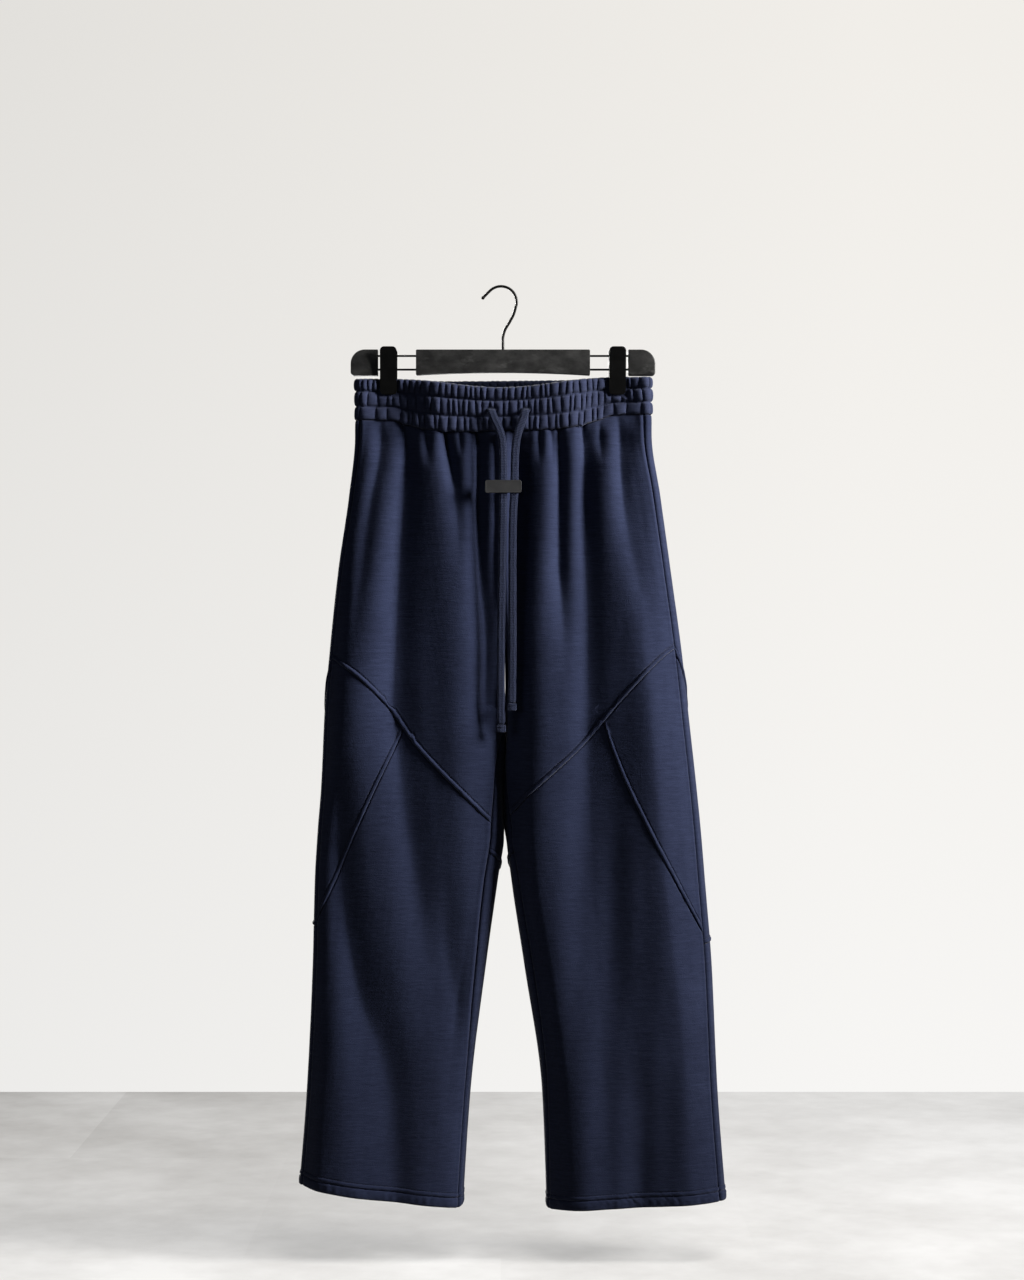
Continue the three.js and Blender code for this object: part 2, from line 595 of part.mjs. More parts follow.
/** Heights down one column: its two ends and the shared levels between, so that neighbours match. */
function heightsDown(high, low, u) {
  const extra = u > CROTCH_COLUMNS_U ? CROTCH_LEVELS : [];
  const levels = [...LEVELS, ...extra].sort((a, b) => b - a);
  return [high, ...levels.filter((z) => z < high - LEVEL_CLEAR && z > low + LEVEL_CLEAR), low];
}

/** A cloth panel between two seams, or a seam and the turned-up hem. */
function panel({ side, face, columns, top, bottom, hemmed = false }) {
  return wall(columns.map((u) => {
    const high = top(u) - gapDown(side, face, top, u);
    const low = bottom(u) + (hemmed ? 0 : gapDown(side, face, bottom, u));
    const fold = low + HEM_DEPTH;
    const heights = hemmed
      ? [...heightsDown(high, fold, u), fold - HEM_STEP, low]
      : heightsDown(high, low, u);
    return heights.map((z) => {
      const { length, angleAt } = rule(side, z, face);
      const trim = SEAM_GAP / 2 / length;
      const angle = angleAt(clamp(u, trim, 1 - trim));
      const middle = clothPoint(side, z, angle);
      const normal = clothNormal(side, z, angle);
      const inwards = CLOTH / 2 + (hemmed && z < fold ? HEM_EXTRA : 0);
      return {
        outside: middle.clone().addScaledVector(normal, CLOTH / 2),
        inside: middle.clone().addScaledVector(normal, -inwards),
      };
    });
  }));
}

/** The waistband: one ring of double cloth, pinched at the clips and sagging between them. */
function waistband() {
  const plan = [];
  for (const [side, turns] of [['left', [1, -1]], ['right', [-1, 1]]]) {
    const section = { ...sectionAt(side, BAND_PLAN_Z), share: 1 };
    const outer = section.middle + section.half;
    Object.assign(section, { middle: outer / 2, half: outer / 2 });
    for (let i = 0; i < BAND_STEPS; i += 1) {
      const angle = Math.PI * lerp(turns[0], turns[1], i / BAND_STEPS);
      const point = planPoint({ ...section, z: CROTCH_Z }, angle);
      plan.push({ point, face: angle > 0 ? 'front' : 'back' });
    }
  }
  const lengths = [0];
  plan.forEach(({ point }, i) => {
    const next = plan[(i + 1) % plan.length].point;
    lengths.push(lengths[i] + point.distanceTo(next));
  });
  const girth = lengths[plan.length];
  const columns = [];
  let i = 0;
  for (let k = 0; k < BAND_COLUMNS; k += 1) {
    while (lengths[i + 1] <= (k / BAND_COLUMNS) * girth) i += 1;
    const { point, face } = plan[i];
    const before = plan[(i + plan.length - 3) % plan.length].point;
    const after = plan[(i + 3) % plan.length].point;
    const normal = new THREE.Vector3(after.y - before.y, before.x - after.x, 0).normalize();
    const top = bandEdge(BAND_TOP, point.x, face);
    const bottom = bandEdge(BAND_BOTTOM, point.x, face) + SEAM_GAP / 2 + FACET_EASE.back;
    columns.push(SHIRRING.map((share) => {
      const at = point.clone().setZ(lerp(top, bottom, share));
      const held = Math.min(Math.abs(at.y), GRIP_Y);
      at.y = Math.sign(at.y) * lerp(Math.abs(at.y), held, pinch(at.x, at.z));
      return {
        outside: at.clone().addScaledVector(normal, BAND_WALL / 2),
        inside: at.clone().addScaledVector(normal, -BAND_WALL / 2),
      };
    }));
  }
  return wall(columns, true);
}

// ---------------------------------------------------------------- cutting and joining
/** A manifold solid from a closed three.js geometry. */
function toSolid(geometry) {
  const plain = geometry.index ? geometry.toNonIndexed() : geometry.clone();
  plain.deleteAttribute('normal');
  plain.deleteAttribute('uv');
  const merged = mergeVertices(plain, 1e-4);
  return new wasm.Manifold(new wasm.Mesh({
    numProp: 3,
    vertProperties: new Float32Array(merged.attributes.position.array),
    triVerts: new Uint32Array(merged.index.array),
  }));
}

/** A three.js geometry from a manifold solid. */
function toGeometry(solid) {
  const mesh = solid.getMesh();
  const geometry = new THREE.BufferGeometry();
  geometry.setAttribute('position', new THREE.BufferAttribute(mesh.vertProperties.slice(), 3));
  geometry.setIndex(new THREE.BufferAttribute(mesh.triVerts.slice(), 1));
  return geometry;
}

const cut = (body, tools) => toGeometry(
  tools.reduce((solid, tool) => solid.subtract(toSolid(tool)), toSolid(body)),
);
const join = (bodies) => toGeometry(bodies.map(toSolid).reduce((all, body) => all.add(body)));
const common = (a, b) => toGeometry(toSolid(a).intersect(toSolid(b)));

/** A round bar along X. */
function roundBar(radius, from, to, y, z, sides = 12) {
  const bar = new THREE.CylinderGeometry(radius, radius, to - from, sides);
  return bar.rotateZ(Math.PI / 2).translate((from + to) / 2, y, z);
}

/** A front-view shape (x, z) given a depth along Y, its edges eased by a small bevel. */
function slab(shape, depth, ease = 0.8) {
  const geometry = new THREE.ExtrudeGeometry(shape, {
    depth: depth - 2 * ease,
    bevelEnabled: ease > 0,
    bevelSize: ease,
    bevelThickness: ease,
    bevelOffset: -ease,
    bevelSegments: 1,
    curveSegments: 3,
  });
  return geometry.translate(0, 0, -(depth - 2 * ease) / 2).rotateX(Math.PI / 2);
}

/** A rectangle with rounded corners, as a front-view shape. */
function roundedRectangle(left, right, bottom, top, radius) {
  const shape = new THREE.Shape();
  shape.moveTo(left + radius, bottom);
  shape.lineTo(right - radius, bottom);
  shape.absarc(right - radius, bottom + radius, radius, -Math.PI / 2, 0);
  shape.lineTo(right, top - radius);
  shape.absarc(right - radius, top - radius, radius, 0, Math.PI / 2);
  shape.lineTo(left + radius, top);
  shape.absarc(left + radius, top - radius, radius, Math.PI / 2, Math.PI);
  shape.lineTo(left, bottom + radius);
  shape.absarc(left + radius, bottom + radius, radius, Math.PI, 1.5 * Math.PI);
  return shape;
}

const rodBores = (from, to) => Object.values(ROD_HEIGHTS).map(
  (z) => roundBar(ROD_RADIUS + BORE_GAP, from, to, 0, z),
);

// ---------------------------------------------------------------- the hanger
/** The centre bar: flat on top, slightly arched below, bored for the rods and the hook's shank. */
function hangerBar() {
  const { corner } = BAR;
  const shape = new THREE.Shape();
  shape.moveTo(-BAR.half + corner, BAR.ends);
  shape.quadraticCurveTo(0, 2 * BAR.middle - BAR.ends, BAR.half - corner, BAR.ends);
  shape.quadraticCurveTo(BAR.half, BAR.ends, BAR.half, BAR.ends + corner);
  shape.lineTo(BAR.half, BAR.top - corner);
  shape.quadraticCurveTo(BAR.half, BAR.top, BAR.half - corner, BAR.top);
  shape.lineTo(-BAR.half + corner, BAR.top);
  shape.quadraticCurveTo(-BAR.half, BAR.top, -BAR.half, BAR.top - corner);
  shape.lineTo(-BAR.half, BAR.ends + corner);
  shape.quadraticCurveTo(-BAR.half, BAR.ends, -BAR.half + corner, BAR.ends);
  const shankRadius = HOOK.wire / 2 + BORE_GAP;
  const shankBore = new THREE.CylinderGeometry(shankRadius, shankRadius, 16, 14);
  shankBore.rotateX(Math.PI / 2).translate(0, 0, BAR.top + 8 - HOOK_SEAT);
  return cut(slab(shape, BAR.depth), [...rodBores(-BAR.half - 2, BAR.half + 2), shankBore]);
}

/** An end block, bored part way for the rods. */
function endBlock(sign) {
  const { inside, outside, top, bottom, corner, foot, depth } = END_BLOCK;
  const shape = new THREE.Shape();
  shape.moveTo(inside, bottom);
  shape.lineTo(outside - foot, bottom);
  shape.absarc(outside - foot, bottom + foot, foot, -Math.PI / 2, 0);
  shape.lineTo(outside, top - corner);
  shape.absarc(outside - corner, top - corner, corner, 0, Math.PI / 2);
  shape.lineTo(inside, top);
  shape.closePath();
  const block = cut(slab(shape, depth), rodBores(inside - 2, ROD_END + BORE_GAP));
  return sign > 0 ? block : block.rotateZ(Math.PI);
}

/** The wire hook: shank, bend, crown and straight tail with a ball tip. */
function hangerHook() {
  const points = [[MIDDLE_X, BAR.top - HOOK_SEAT + BORE_GAP], ...SHANK];
  const centre = HOOK.wire / 2 - HOOK.radius;
  for (const degrees of spread(HOOK.crownFrom, HOOK.crownTo, 12)) {
    const angle = THREE.MathUtils.degToRad(degrees);
    points.push([HOOK.radius * Math.cos(angle), centre + HOOK.radius * Math.sin(angle)]);
  }
  const [crownX, crownZ] = points.at(-1);
  const slope = Math.SQRT1_2 * HOOK.tail; // the tail runs on at 45 degrees
  const [endX, endZ] = [crownX - slope, crownZ - slope];
  points.push([(crownX + endX) / 2, (crownZ + endZ) / 2], [endX, endZ]);
  const path = new THREE.CatmullRomCurve3(points.map(([x, z]) => new THREE.Vector3(x, 0, z)));
  const wire = new THREE.Shape().absarc(0, 0, HOOK.wire / 2, 0, 2 * Math.PI);
  const bent = new THREE.ExtrudeGeometry(wire, { steps: 44, curveSegments: 5, extrudePath: path });
  const tip = new THREE.SphereGeometry(HOOK.tip / 2, 10, 6);
  return join([bent, tip.translate(endX, 0, endZ)]);
}

// ---------------------------------------------------------------- the clips
/** A side-view outline (y, z) given a width along X. */
function sideExtrusion(outline, from, to) {
  const shape = new THREE.Shape(outline.map(([y, z]) => new THREE.Vector2(y, z)));
  const geometry = new THREE.ExtrudeGeometry(shape, { depth: to - from, bevelEnabled: false });
  return geometry.rotateX(Math.PI / 2).rotateZ(Math.PI / 2).translate(from, 0, 0);
}

/** One jaw: a splayed plate with two lugs on the pivot pin. turn is -1 in front and 1 behind. */
function jaw(middle, turn, [lugFrom, lugTo]) {
  const half = CLIP_WIDTH / 2;
  const outline = JAW.map(({ out, z }) => [turn * out, z]);
  const plate = sideExtrusion(outline, middle - half, middle + half);
  const front = slab(roundedRectangle(middle - half, middle + half, CLIP_BOTTOM, CLIP_TOP, 5), 40, 0);
  const lug = [
    [turn * LUG.reach, PIVOT_Z - LUG.halfAtJaw],
    [turn * LUG.reach, PIVOT_Z + LUG.halfAtJaw],
    [-turn * LUG.past, PIVOT_Z + LUG.halfPast],
    [-turn * LUG.past, PIVOT_Z - LUG.halfPast],
  ];
  const lugs = [-1, 1].map((end) => {
    const edges = [middle + end * lugFrom, middle + end * lugTo].sort((a, b) => a - b);
    return sideExtrusion(lug, ...edges);
  });
  const bore = roundBar(PIN_RADIUS + BORE_GAP, middle - half - 1, middle + half + 1, 0, PIVOT_Z);
  return cut(join([common(plate, front), ...lugs]), [bore]);
}

/** The slider that the two jaws pivot on, bored for both rods and the pin. */
function slider(middle) {
  const { half, depth, top, bottom, corner, ease } = SLIDER;
  const block = slab(roundedRectangle(middle - half, middle + half, bottom, top, corner), depth, ease);
  const pinBore = roundBar(PIN_RADIUS + BORE_GAP, middle - half - 1, middle + half + 1, 0, PIVOT_Z);
  return cut(block, [...rodBores(middle - half - 1, middle + half + 1), pinBore]);
}

// ---------------------------------------------------------------- the drawcord
/** A route whose section keeps its broad side across, facing the front. */
class BroadRoute extends THREE.CatmullRomCurve3 {
  computeFrenetFrames(segments) {
    const tangents = spread(0, 1, segments).map((t) => this.getTangentAt(t));
    const normals = tangents.map((t) => new THREE.Vector3(1, 0, 0).addScaledVector(t, -t.x).normalize());
    const binormals = tangents.map((t, i) => new THREE.Vector3().crossVectors(t, normals[i]));
    return { tangents, normals, binormals };
  }
}

/** A flat cord along its route. */
function drawcord(side) {
  const route = new BroadRoute(CORD_ROUTES[side].map((p) => new THREE.Vector3(...p)));
  const [half, thick, ease] = [CORD.width / 2, CORD.thickness / 2, CORD.ease];
  const corners = [
    [half - ease, -thick], [half, ease - thick], [half, thick - ease], [half - ease, thick],
    [ease - half, thick], [-half, thick - ease], [-half, ease - thick], [ease - half, -thick],
  ];
  const flat = new THREE.Shape(corners.map(([x, y]) => new THREE.Vector2(x, y)));
  return new THREE.ExtrudeGeometry(flat, { steps: CORD.steps, extrudePath: route });
}

/** The cord's end, folded back on itself and stitched. */
function cordEnd(side) {
  const [x, y, z] = CORD_ROUTES[side].at(-1);
  const { width, thickness, height, corner } = CORD_END;
  const top = z - SEAM_GAP;
  const outline = roundedRectangle(x - width / 2, x + width / 2, top - height, top, corner);
  return slab(outline, thickness).translate(0, y, 0);
}

/** The blank keeper, with one slot for both cords. */
function cordKeeper() {
  const { x, y, z, width, height, depth, corner, slotFrom, slotTo } = KEEPER;
  const outline = roundedRectangle(x - width / 2, x + width / 2, z - height / 2, z + height / 2, corner);
  const slot = new THREE.BoxGeometry(slotTo - slotFrom, CORD.thickness + SLOT_EASE, height + 2);
  return cut(slab(outline, depth), [slot.translate((slotFrom + slotTo) / 2, 0, z)]).translate(0, y, 0);
}

// ---------------------------------------------------------------- the scene graph
const finish = (color, roughness, metalness = 0) => (
  new THREE.MeshStandardMaterial({ color, roughness, metalness })
);
const FLEECE = finish(0x24293c, 0.95);
const BAND_CLOTH = finish(0x2a2f45, 0.95);
const BRAID = finish(0x242a3d, 0.85);
const RUBBER = finish(0x39393a, 0.6);
const BAR_PLASTIC = finish(0x313131, 0.55);
const BLACK_PLASTIC = finish(0x0a0a0a, 0.4);
const BLACK_WIRE = finish(0x141312, 0.35);

const hanging = new THREE.Group();
const hungBelow = new THREE.Group();
hungBelow.position.x = MIDDLE_X;
hanging.add(hungBelow);

function add(group, name, geometry, material) {
  const mesh = new THREE.Mesh(geometry, material);
  mesh.name = name;
  group.add(mesh);
}

for (const side of ['left', 'right']) {
  const meet = frontMeet(side);
  const [thigh, knee] = [frontThigh(side), frontKnee(side)];
  const [thighBehind, kneeBehind] = [backThigh(side), backKnee(side)];
  // neighbours share their columns, so that their seams follow each other
  const outward = [...spread(0, meet, FRONT_COLUMNS.sideToMeet).slice(0, -1), meet - TIP_U];
  const across = [...outward, ...spread(meet, 1, FRONT_COLUMNS.meetToInseam)];
  const outwardBehind = [
    ...spread(0, WRAP_U, BACK_COLUMNS.sideWrap),
    ...spread(WRAP_U, BACK_MEET_U, BACK_COLUMNS.wrapToMeet).slice(1, -1),
    BACK_MEET_U - TIP_U,
  ];
  const acrossBehind = [
    ...outwardBehind,
    ...spread(BACK_MEET_U, 1 - WRAP_U, BACK_COLUMNS.meetToWrap),
    ...spread(1 - WRAP_U, 1, BACK_COLUMNS.inseamWrap).slice(1),
  ];
  const cloth = {
    [`front_upper_${side}`]: {
      side, face: 'front', columns: across, top: waistSeam(side, 'front'), bottom: thigh,
    },
    [`front_side_${side}`]: {
      side, face: 'front', columns: outward, top: thigh, bottom: knee,
    },
    [`front_leg_${side}`]: {
      side, face: 'front', columns: across,
      top: (u) => (u < meet ? knee(u) : thigh(u)), bottom: hemLine(side), hemmed: true,
    },
    [`back_upper_${side}`]: {
      side, face: 'back', columns: acrossBehind, top: waistSeam(side, 'back'),
      bottom: (u) => (u < BACK_MEET_U ? thighBehind(u) : kneeBehind(u)),
    },
    [`back_side_${side}`]: {
      side, face: 'back', columns: outwardBehind, top: thighBehind, bottom: kneeBehind,
    },
    [`back_leg_${side}`]: {
      side, face: 'back', columns: acrossBehind,
      top: kneeBehind, bottom: hemLine(side), hemmed: true,
    },
  };
  for (const [name, cutting] of Object.entries(cloth)) add(hungBelow, name, panel(cutting), FLEECE);
  add(hungBelow, `drawcord_${side}`, drawcord(side), BRAID);
  add(hungBelow, `cord_end_${side}`, cordEnd(side), BRAID);

  const { sign } = LEGS[side];
  const middle = sign * CLIP_X;
  add(hungBelow, `hanger_end_${side}`, endBlock(sign), BLACK_PLASTIC);
  add(hungBelow, `clip_${side}_front`, jaw(middle, -1, LUGS_X.front), BLACK_PLASTIC);
  add(hungBelow, `clip_${side}_back`, jaw(middle, 1, LUGS_X.back), BLACK_PLASTIC);
  add(hungBelow, `clip_${side}_slider`, slider(middle), BLACK_PLASTIC);
  const pin = roundBar(PIN_RADIUS, middle - PIN_HALF, middle + PIN_HALF, 0, PIVOT_Z);
  add(hungBelow, `clip_${side}_pin`, pin, BLACK_WIRE);
}

add(hungBelow, 'waistband', waistband(), BAND_CLOTH);
add(hungBelow, 'cord_keeper', cordKeeper(), RUBBER);
add(hungBelow, 'hanger_bar', hangerBar(), BAR_PLASTIC);
for (const [name, z] of Object.entries(ROD_HEIGHTS)) {
  add(hungBelow, `hanger_rod_${name}`, roundBar(ROD_RADIUS, -ROD_END, ROD_END, 0, z), BLACK_WIRE);
}
add(hanging, 'hanger_hook', hangerHook(), BLACK_WIRE);

export default hanging;
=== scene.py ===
"""Wide-leg track pants hung by the waistband from a clip hanger: the looks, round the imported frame.

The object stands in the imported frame: +Z up, the wearer's front facing -Y and the wearer's left +X.
Sizes in the tables are millimetres, as a cutter writes them, and become metres when a mesh is made.
The garment's own middle lies a little to one side of the hook, so its pieces are worked out about
their own middle and shifted across once, in to_world.
"""

import logging
import math
from dataclasses import dataclass
from enum import Enum
from functools import reduce
from typing import Callable, Optional, Sequence

import bpy
import numpy as np
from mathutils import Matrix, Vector


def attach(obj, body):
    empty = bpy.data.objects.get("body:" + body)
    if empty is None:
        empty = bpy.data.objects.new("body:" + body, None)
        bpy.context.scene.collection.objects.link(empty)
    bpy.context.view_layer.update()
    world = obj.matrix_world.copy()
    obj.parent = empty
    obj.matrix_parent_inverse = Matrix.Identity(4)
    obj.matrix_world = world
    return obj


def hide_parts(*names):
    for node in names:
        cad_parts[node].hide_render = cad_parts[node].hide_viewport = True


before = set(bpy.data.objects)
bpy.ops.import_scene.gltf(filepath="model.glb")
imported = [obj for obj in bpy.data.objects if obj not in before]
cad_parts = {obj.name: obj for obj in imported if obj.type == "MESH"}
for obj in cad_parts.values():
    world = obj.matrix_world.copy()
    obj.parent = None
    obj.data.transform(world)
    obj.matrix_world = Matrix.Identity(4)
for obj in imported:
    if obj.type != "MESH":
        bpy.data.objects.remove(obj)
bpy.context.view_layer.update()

logging.basicConfig(level=logging.INFO, format="%(message)s")
LOG = logging.getLogger("track_pants")

MM = 0.001
BODY = "root"
MIDDLE_X = 2.4
Array = np.ndarray
Field = Callable[[Array], Array]
Colour = tuple[float, float, float]
Point = tuple[float, float, float]
Corner = tuple[float, float]
Socket = bpy.types.NodeSocket
Input = float | Colour | Socket


class Side(Enum):
    """The wearer's side that a piece belongs to."""

    LEFT = "left"
    RIGHT = "right"

    @property
    def sign(self) -> int:
        """+1 for the wearer's left, which is towards +X, and -1 for the right."""
        return 1 if self is Side.LEFT else -1


class Face(Enum):
    """Front or back of the garment."""

    FRONT = "front"
    BACK = "back"


# ------------ arithmetic
def smoothstep(value: Array, low: float, high: float) -> Array:
    """Eases from 0 at low to 1 at high."""
    t = np.clip((value - low) / (high - low), 0.0, 1.0)
    return t * t * (3.0 - 2.0 * t)


def bell(value: Array, width: float) -> Array:
    """A soft bump of height 1 at 0."""
    return np.exp(-((value / width) ** 2))


def dome(value: Array, length: float, power: float) -> Array:
    """A puffed rib of height 1 that starts at 0 and ends at length."""
    return np.sin(np.pi * np.clip(value / length, 0.0, 1.0)) ** power


def signed_power(value: Array, power: float) -> Array:
    """Raises to a power and keeps the sign."""
    return np.sign(value) * np.abs(value) ** power


def to_world(points: Array) -> Array:
    """Millimetres about the garment's middle to metres in the frame."""
    return (points + np.array([MIDDLE_X, 0, 0])) * MM


def unit(vectors: Array) -> Array:
    """The vectors at length 1."""
    return vectors / (np.linalg.norm(vectors, axis=-1, keepdims=True) + 1e-12)


def round_angles(count: int) -> Array:
    """Even angles once round, the last short of the first."""
    return np.linspace(0, 2 * np.pi, count, endpoint=False)


def run_along(points: Array) -> Array:
    """Length run at each point of a line, from 0."""
    return np.concatenate([[0], np.cumsum(np.linalg.norm(np.diff(points, axis=0), axis=1))])


def listed(*columns: Array) -> Array:
    """One row for each point, from grids or rows of its coordinates that broadcast."""
    return np.stack(np.broadcast_arrays(*columns), axis=-1).reshape(-1, len(columns))


def hermite(keys: Array, values: Array, slopes: Array, at: Array) -> Array:
    """A cubic through the values with the slopes given, held past its ends.

    Args:
        keys: where the values stand, rising.
        values: the values.
        slopes: the slope at each.
        at: where to read it.

    Returns:
        The value at each place.
    """
    i = np.clip(np.searchsorted(keys, at, side="right") - 1, 0, len(keys) - 2)
    span = keys[i + 1] - keys[i]
    t = np.clip((at - keys[i]) / span, 0.0, 1.0)
    t2, t3 = t * t, t * t * t
    return (
        (2 * t3 - 3 * t2 + 1) * values[i]
        + (t3 - 2 * t2 + t) * span * slopes[i]
        + (3 * t2 - 2 * t3) * values[i + 1]
        + (t3 - t2) * span * slopes[i + 1]
    )


class SmoothTable:
    """A monotone cubic through a table's column, whose key rises or falls steadily."""

    def __init__(self, keys: Sequence[float], values: Sequence[float]) -> None:
        """Sorts the rows and works out a slope at each.

        Args:
            keys: the first column, in either order.
            values: the value at each key.
        """
        order = np.argsort(keys)
        self.keys = np.asarray(keys, dtype=float)[order]
        self.values = np.asarray(values, dtype=float)[order]
        secant = np.diff(self.values) / np.diff(self.keys)
        before, after = secant[:-1], secant[1:]
        same_way = before * after > 0
        total = np.where(same_way, before + after, 1.0)
        inner = np.where(same_way, 2.0 * before * after / total, 0.0)
        self.slopes = np.concatenate([[secant[0]], inner, [secant[-1]]])

    def __call__(self, at: Array) -> Array:
        """Values at the keys given; past an end, the end's value."""
        return hermite(self.keys, self.values, self.slopes, np.asarray(at, dtype=float))


class Ripple:
    """Seeded smooth unevenness, about -1 to 1, along one or two directions."""

    def __init__(self, seed: int, wavelengths: Sequence[float], count: int = 5) -> None:
        """Draws count waves near each wavelength, in mm.

        Args:
            seed: starts the draws.
            wavelengths: in mm.
            count: how many waves near each.
        """
        rng = np.random.default_rng(seed)
        total = count * len(wavelengths)
        lengths = np.repeat(wavelengths, count) * rng.uniform(0.7, 1.4, total)
        self.rates = 2 * np.pi / lengths
        self.tilts = rng.uniform(-0.35, 0.35, total)
        self.phases = rng.uniform(0, 2 * np.pi, total)
        self.spread = math.sqrt(total)

    def __call__(self, across: Array, down: Array = 0.0) -> Array:
        """The unevenness at distances in mm; down counts for less than across."""
        waves = zip(self.rates, self.tilts, self.phases)
        return sum(np.sin(rate * (across + tilt * down) + phase) for rate, tilt, phase in waves) / self.spread


# ------------ the garment's sizes
CLOTH = 2.0
SEAM_GAP = 0.3
HEM_DEPTH = 15.0
HEM_EXTRA = 1.6
SQUARENESS = 3.0
CROTCH_Z = -505.0
RISE_TOP_Z = -190.0
BAND_PLAN_Z = -150.0
BAND_REACH = 138.0
CLIP_X = 137.2
GRIP_Y = 2.7
PINCH_Z = (-215.0, -136.0)
PINCH_INWARDS = (12.0, 66.0)
PINCH_OUTWARDS = (12.0, 40.0)
PINCH_OPENS_OUTWARDS = 0.5
EDGE_FADE = (2.0, 26.0)
SWELL = 0.55
BACK_MEET_U = 0.52
BACK_KNEE_IN_Z = -676.0
BACK_KNEE_BOW = 24.0
BACK_THIGH_BOW = 0.15
TIP_U = 0.012
SHIRRING = (0.0, 0.3, 0.67, 1.0)
BUTTONHOLES_X = (-14.0, 27.0)
BUTTONHOLE_Z = -148.6


@dataclass(frozen=True)
class BandEdge:
    """One edge of the waistband: its heights at the clips and how far it sags between them."""

    left: float
    right: float
    front_sag: float
    back_sag: float
    top: bool

    def height(self, x: Array, face: Face) -> Array:
        """Height of the edge at x, on the front or the back.

        Args:
            x: x of each point.
            face: front or back.

        Returns:
            The height at each x.
        """
        share = np.clip((x + BAND_REACH) / (2 * BAND_REACH), 0, 1)
        t = np.clip(np.abs(x) / BAND_REACH, 0, 1)
        droop = (1 + np.cos(np.pi * t)) / 2 if self.top else (1 - t**5) ** 2
        sag = self.front_sag if face is Face.FRONT else self.back_sag
        return self.right + (self.left - self.right) * share - droop * sag


BAND_TOP = BandEdge(-107.6, -110.0, 12.5, 0.5, True)
BAND_BOTTOM = BandEdge(-153.0, -160.0, 17.0, 10.0, False)

# x of the places where the cloth is tucked under the waistband, and how deep each tuck is
WAIST_TUCKS = {
    Face.FRONT: (
        (-146.6, 0.8), (-118, 1.6), (-95, 0.5), (-69.7, 1.3), (-52, 0.5), (-33, 1.2), (-9, 0.8),
        (15, 1.0), (30, 0.5), (44, 1.0), (57, 0.9), (66.4, 0.8), (80, 0.5), (94.8, 1.6), (116, 0.7),
        (137.4, 1.3), (158, 0.5),
    ),
    Face.BACK: (
        (-146, 1.0), (-122, 0.6), (-98, 1.5), (-74, 0.6), (-56, 0.8), (-34, 1.2), (-12, 0.7),
        (10, 0.8), (36, 1.3), (58, 0.6), (74, 0.8), (90, 1.4), (118, 0.7), (146, 1.0),
    ),
}


def waist_height(x: Array, face: Face) -> Array:
    """Height of the waist seam at x: the band's lower edge, arched over each pouch of cloth."""
    tucked = sum(deep * bell(x - at, 3.4) for at, deep in WAIST_TUCKS[face])
    return BAND_BOTTOM.height(x, face) + 0.5 - tucked


# z, outer, inner, inset, front, back
SECTIONS = {
    Side.LEFT: (
        (-100, 177, 0, 0, 17, 28),
        (-175, 177.5, 0, 0, 19, 28),
        (-250, 188.5, 0, 0, 29, 34),
        (-340, 201, 0, 0, 38, 41),
        (-440, 214.5, 1, 0, 44, 47),
        (-505, 221.5, 1.5, 0, 46, 48),
        (-600, 232, 2.4, 3, 44, 46),
        (-650, 237, 3.2, 5, 43, 45),
        (-710, 242, 9.8, 8.2, 41, 44),
        (-810, 250, 25, 9.5, 40, 42),
        (-960, 257, 46.5, 5.3, 40, 41),
        (-1110, 268.5, 52.5, 2.8, 41, 41),
    ),
    Side.RIGHT: (
        (-100, 176, 0, 0, 17, 28),
        (-175, 176.5, 0, 0, 19, 28),
        (-250, 184.5, 0, 0, 29, 34),
        (-340, 197.5, 0, 0, 38, 41),
        (-440, 208, -1, 0, 44, 47),
        (-505, 213.5, -1.5, 0, 46, 48),
        (-600, 218, -2.1, 11.5, 45, 46),
        (-650, 222, -2.2, 15.5, 44, 45),
        (-710, 225.5, 6, 15, 43, 44),
        (-810, 228, 20, 11, 42, 42),
        (-960, 235, 38.5, 5.5, 42, 41),
        (-1110, 247, 48.5, 5.5, 43, 41),
    ),
}
SIDE_INSET = {Side.LEFT: 8.0, Side.RIGHT: 4.5}

# distance from the middle, and height
THIGH_SEAM = {
    Side.LEFT: ((220, -424), (190, -443), (144, -491), (100, -543), (49, -592), (5, -635)),
    Side.RIGHT: ((215, -437), (176, -463.5), (136.5, -505), (102.5, -550.5), (51.5, -603.5), (5, -650)),
}
KNEE_SEAM = {
    Side.LEFT: ((131, -558), (169.5, -645), (211, -726), (245, -785), (256, -804)),
    Side.RIGHT: ((131.5, -558), (157.5, -613), (192, -689), (223, -762), (232, -783)),
}
SEAMS_MEET_AT = {Side.LEFT: 119.5, Side.RIGHT: 118.0}
HEM = {
    Side.LEFT: ((0, -1091), (0.25, -1094), (0.7, -1098.5), (1, -1101)),
    Side.RIGHT: ((0, -1072), (0.15, -1077), (0.4, -1085), (0.7, -1092), (1, -1099)),
}
BACK_THIGH_TOP = {Side.LEFT: -442.0, Side.RIGHT: -457.0}
BACK_KNEE_END = {Side.LEFT: -785.0, Side.RIGHT: -764.0}


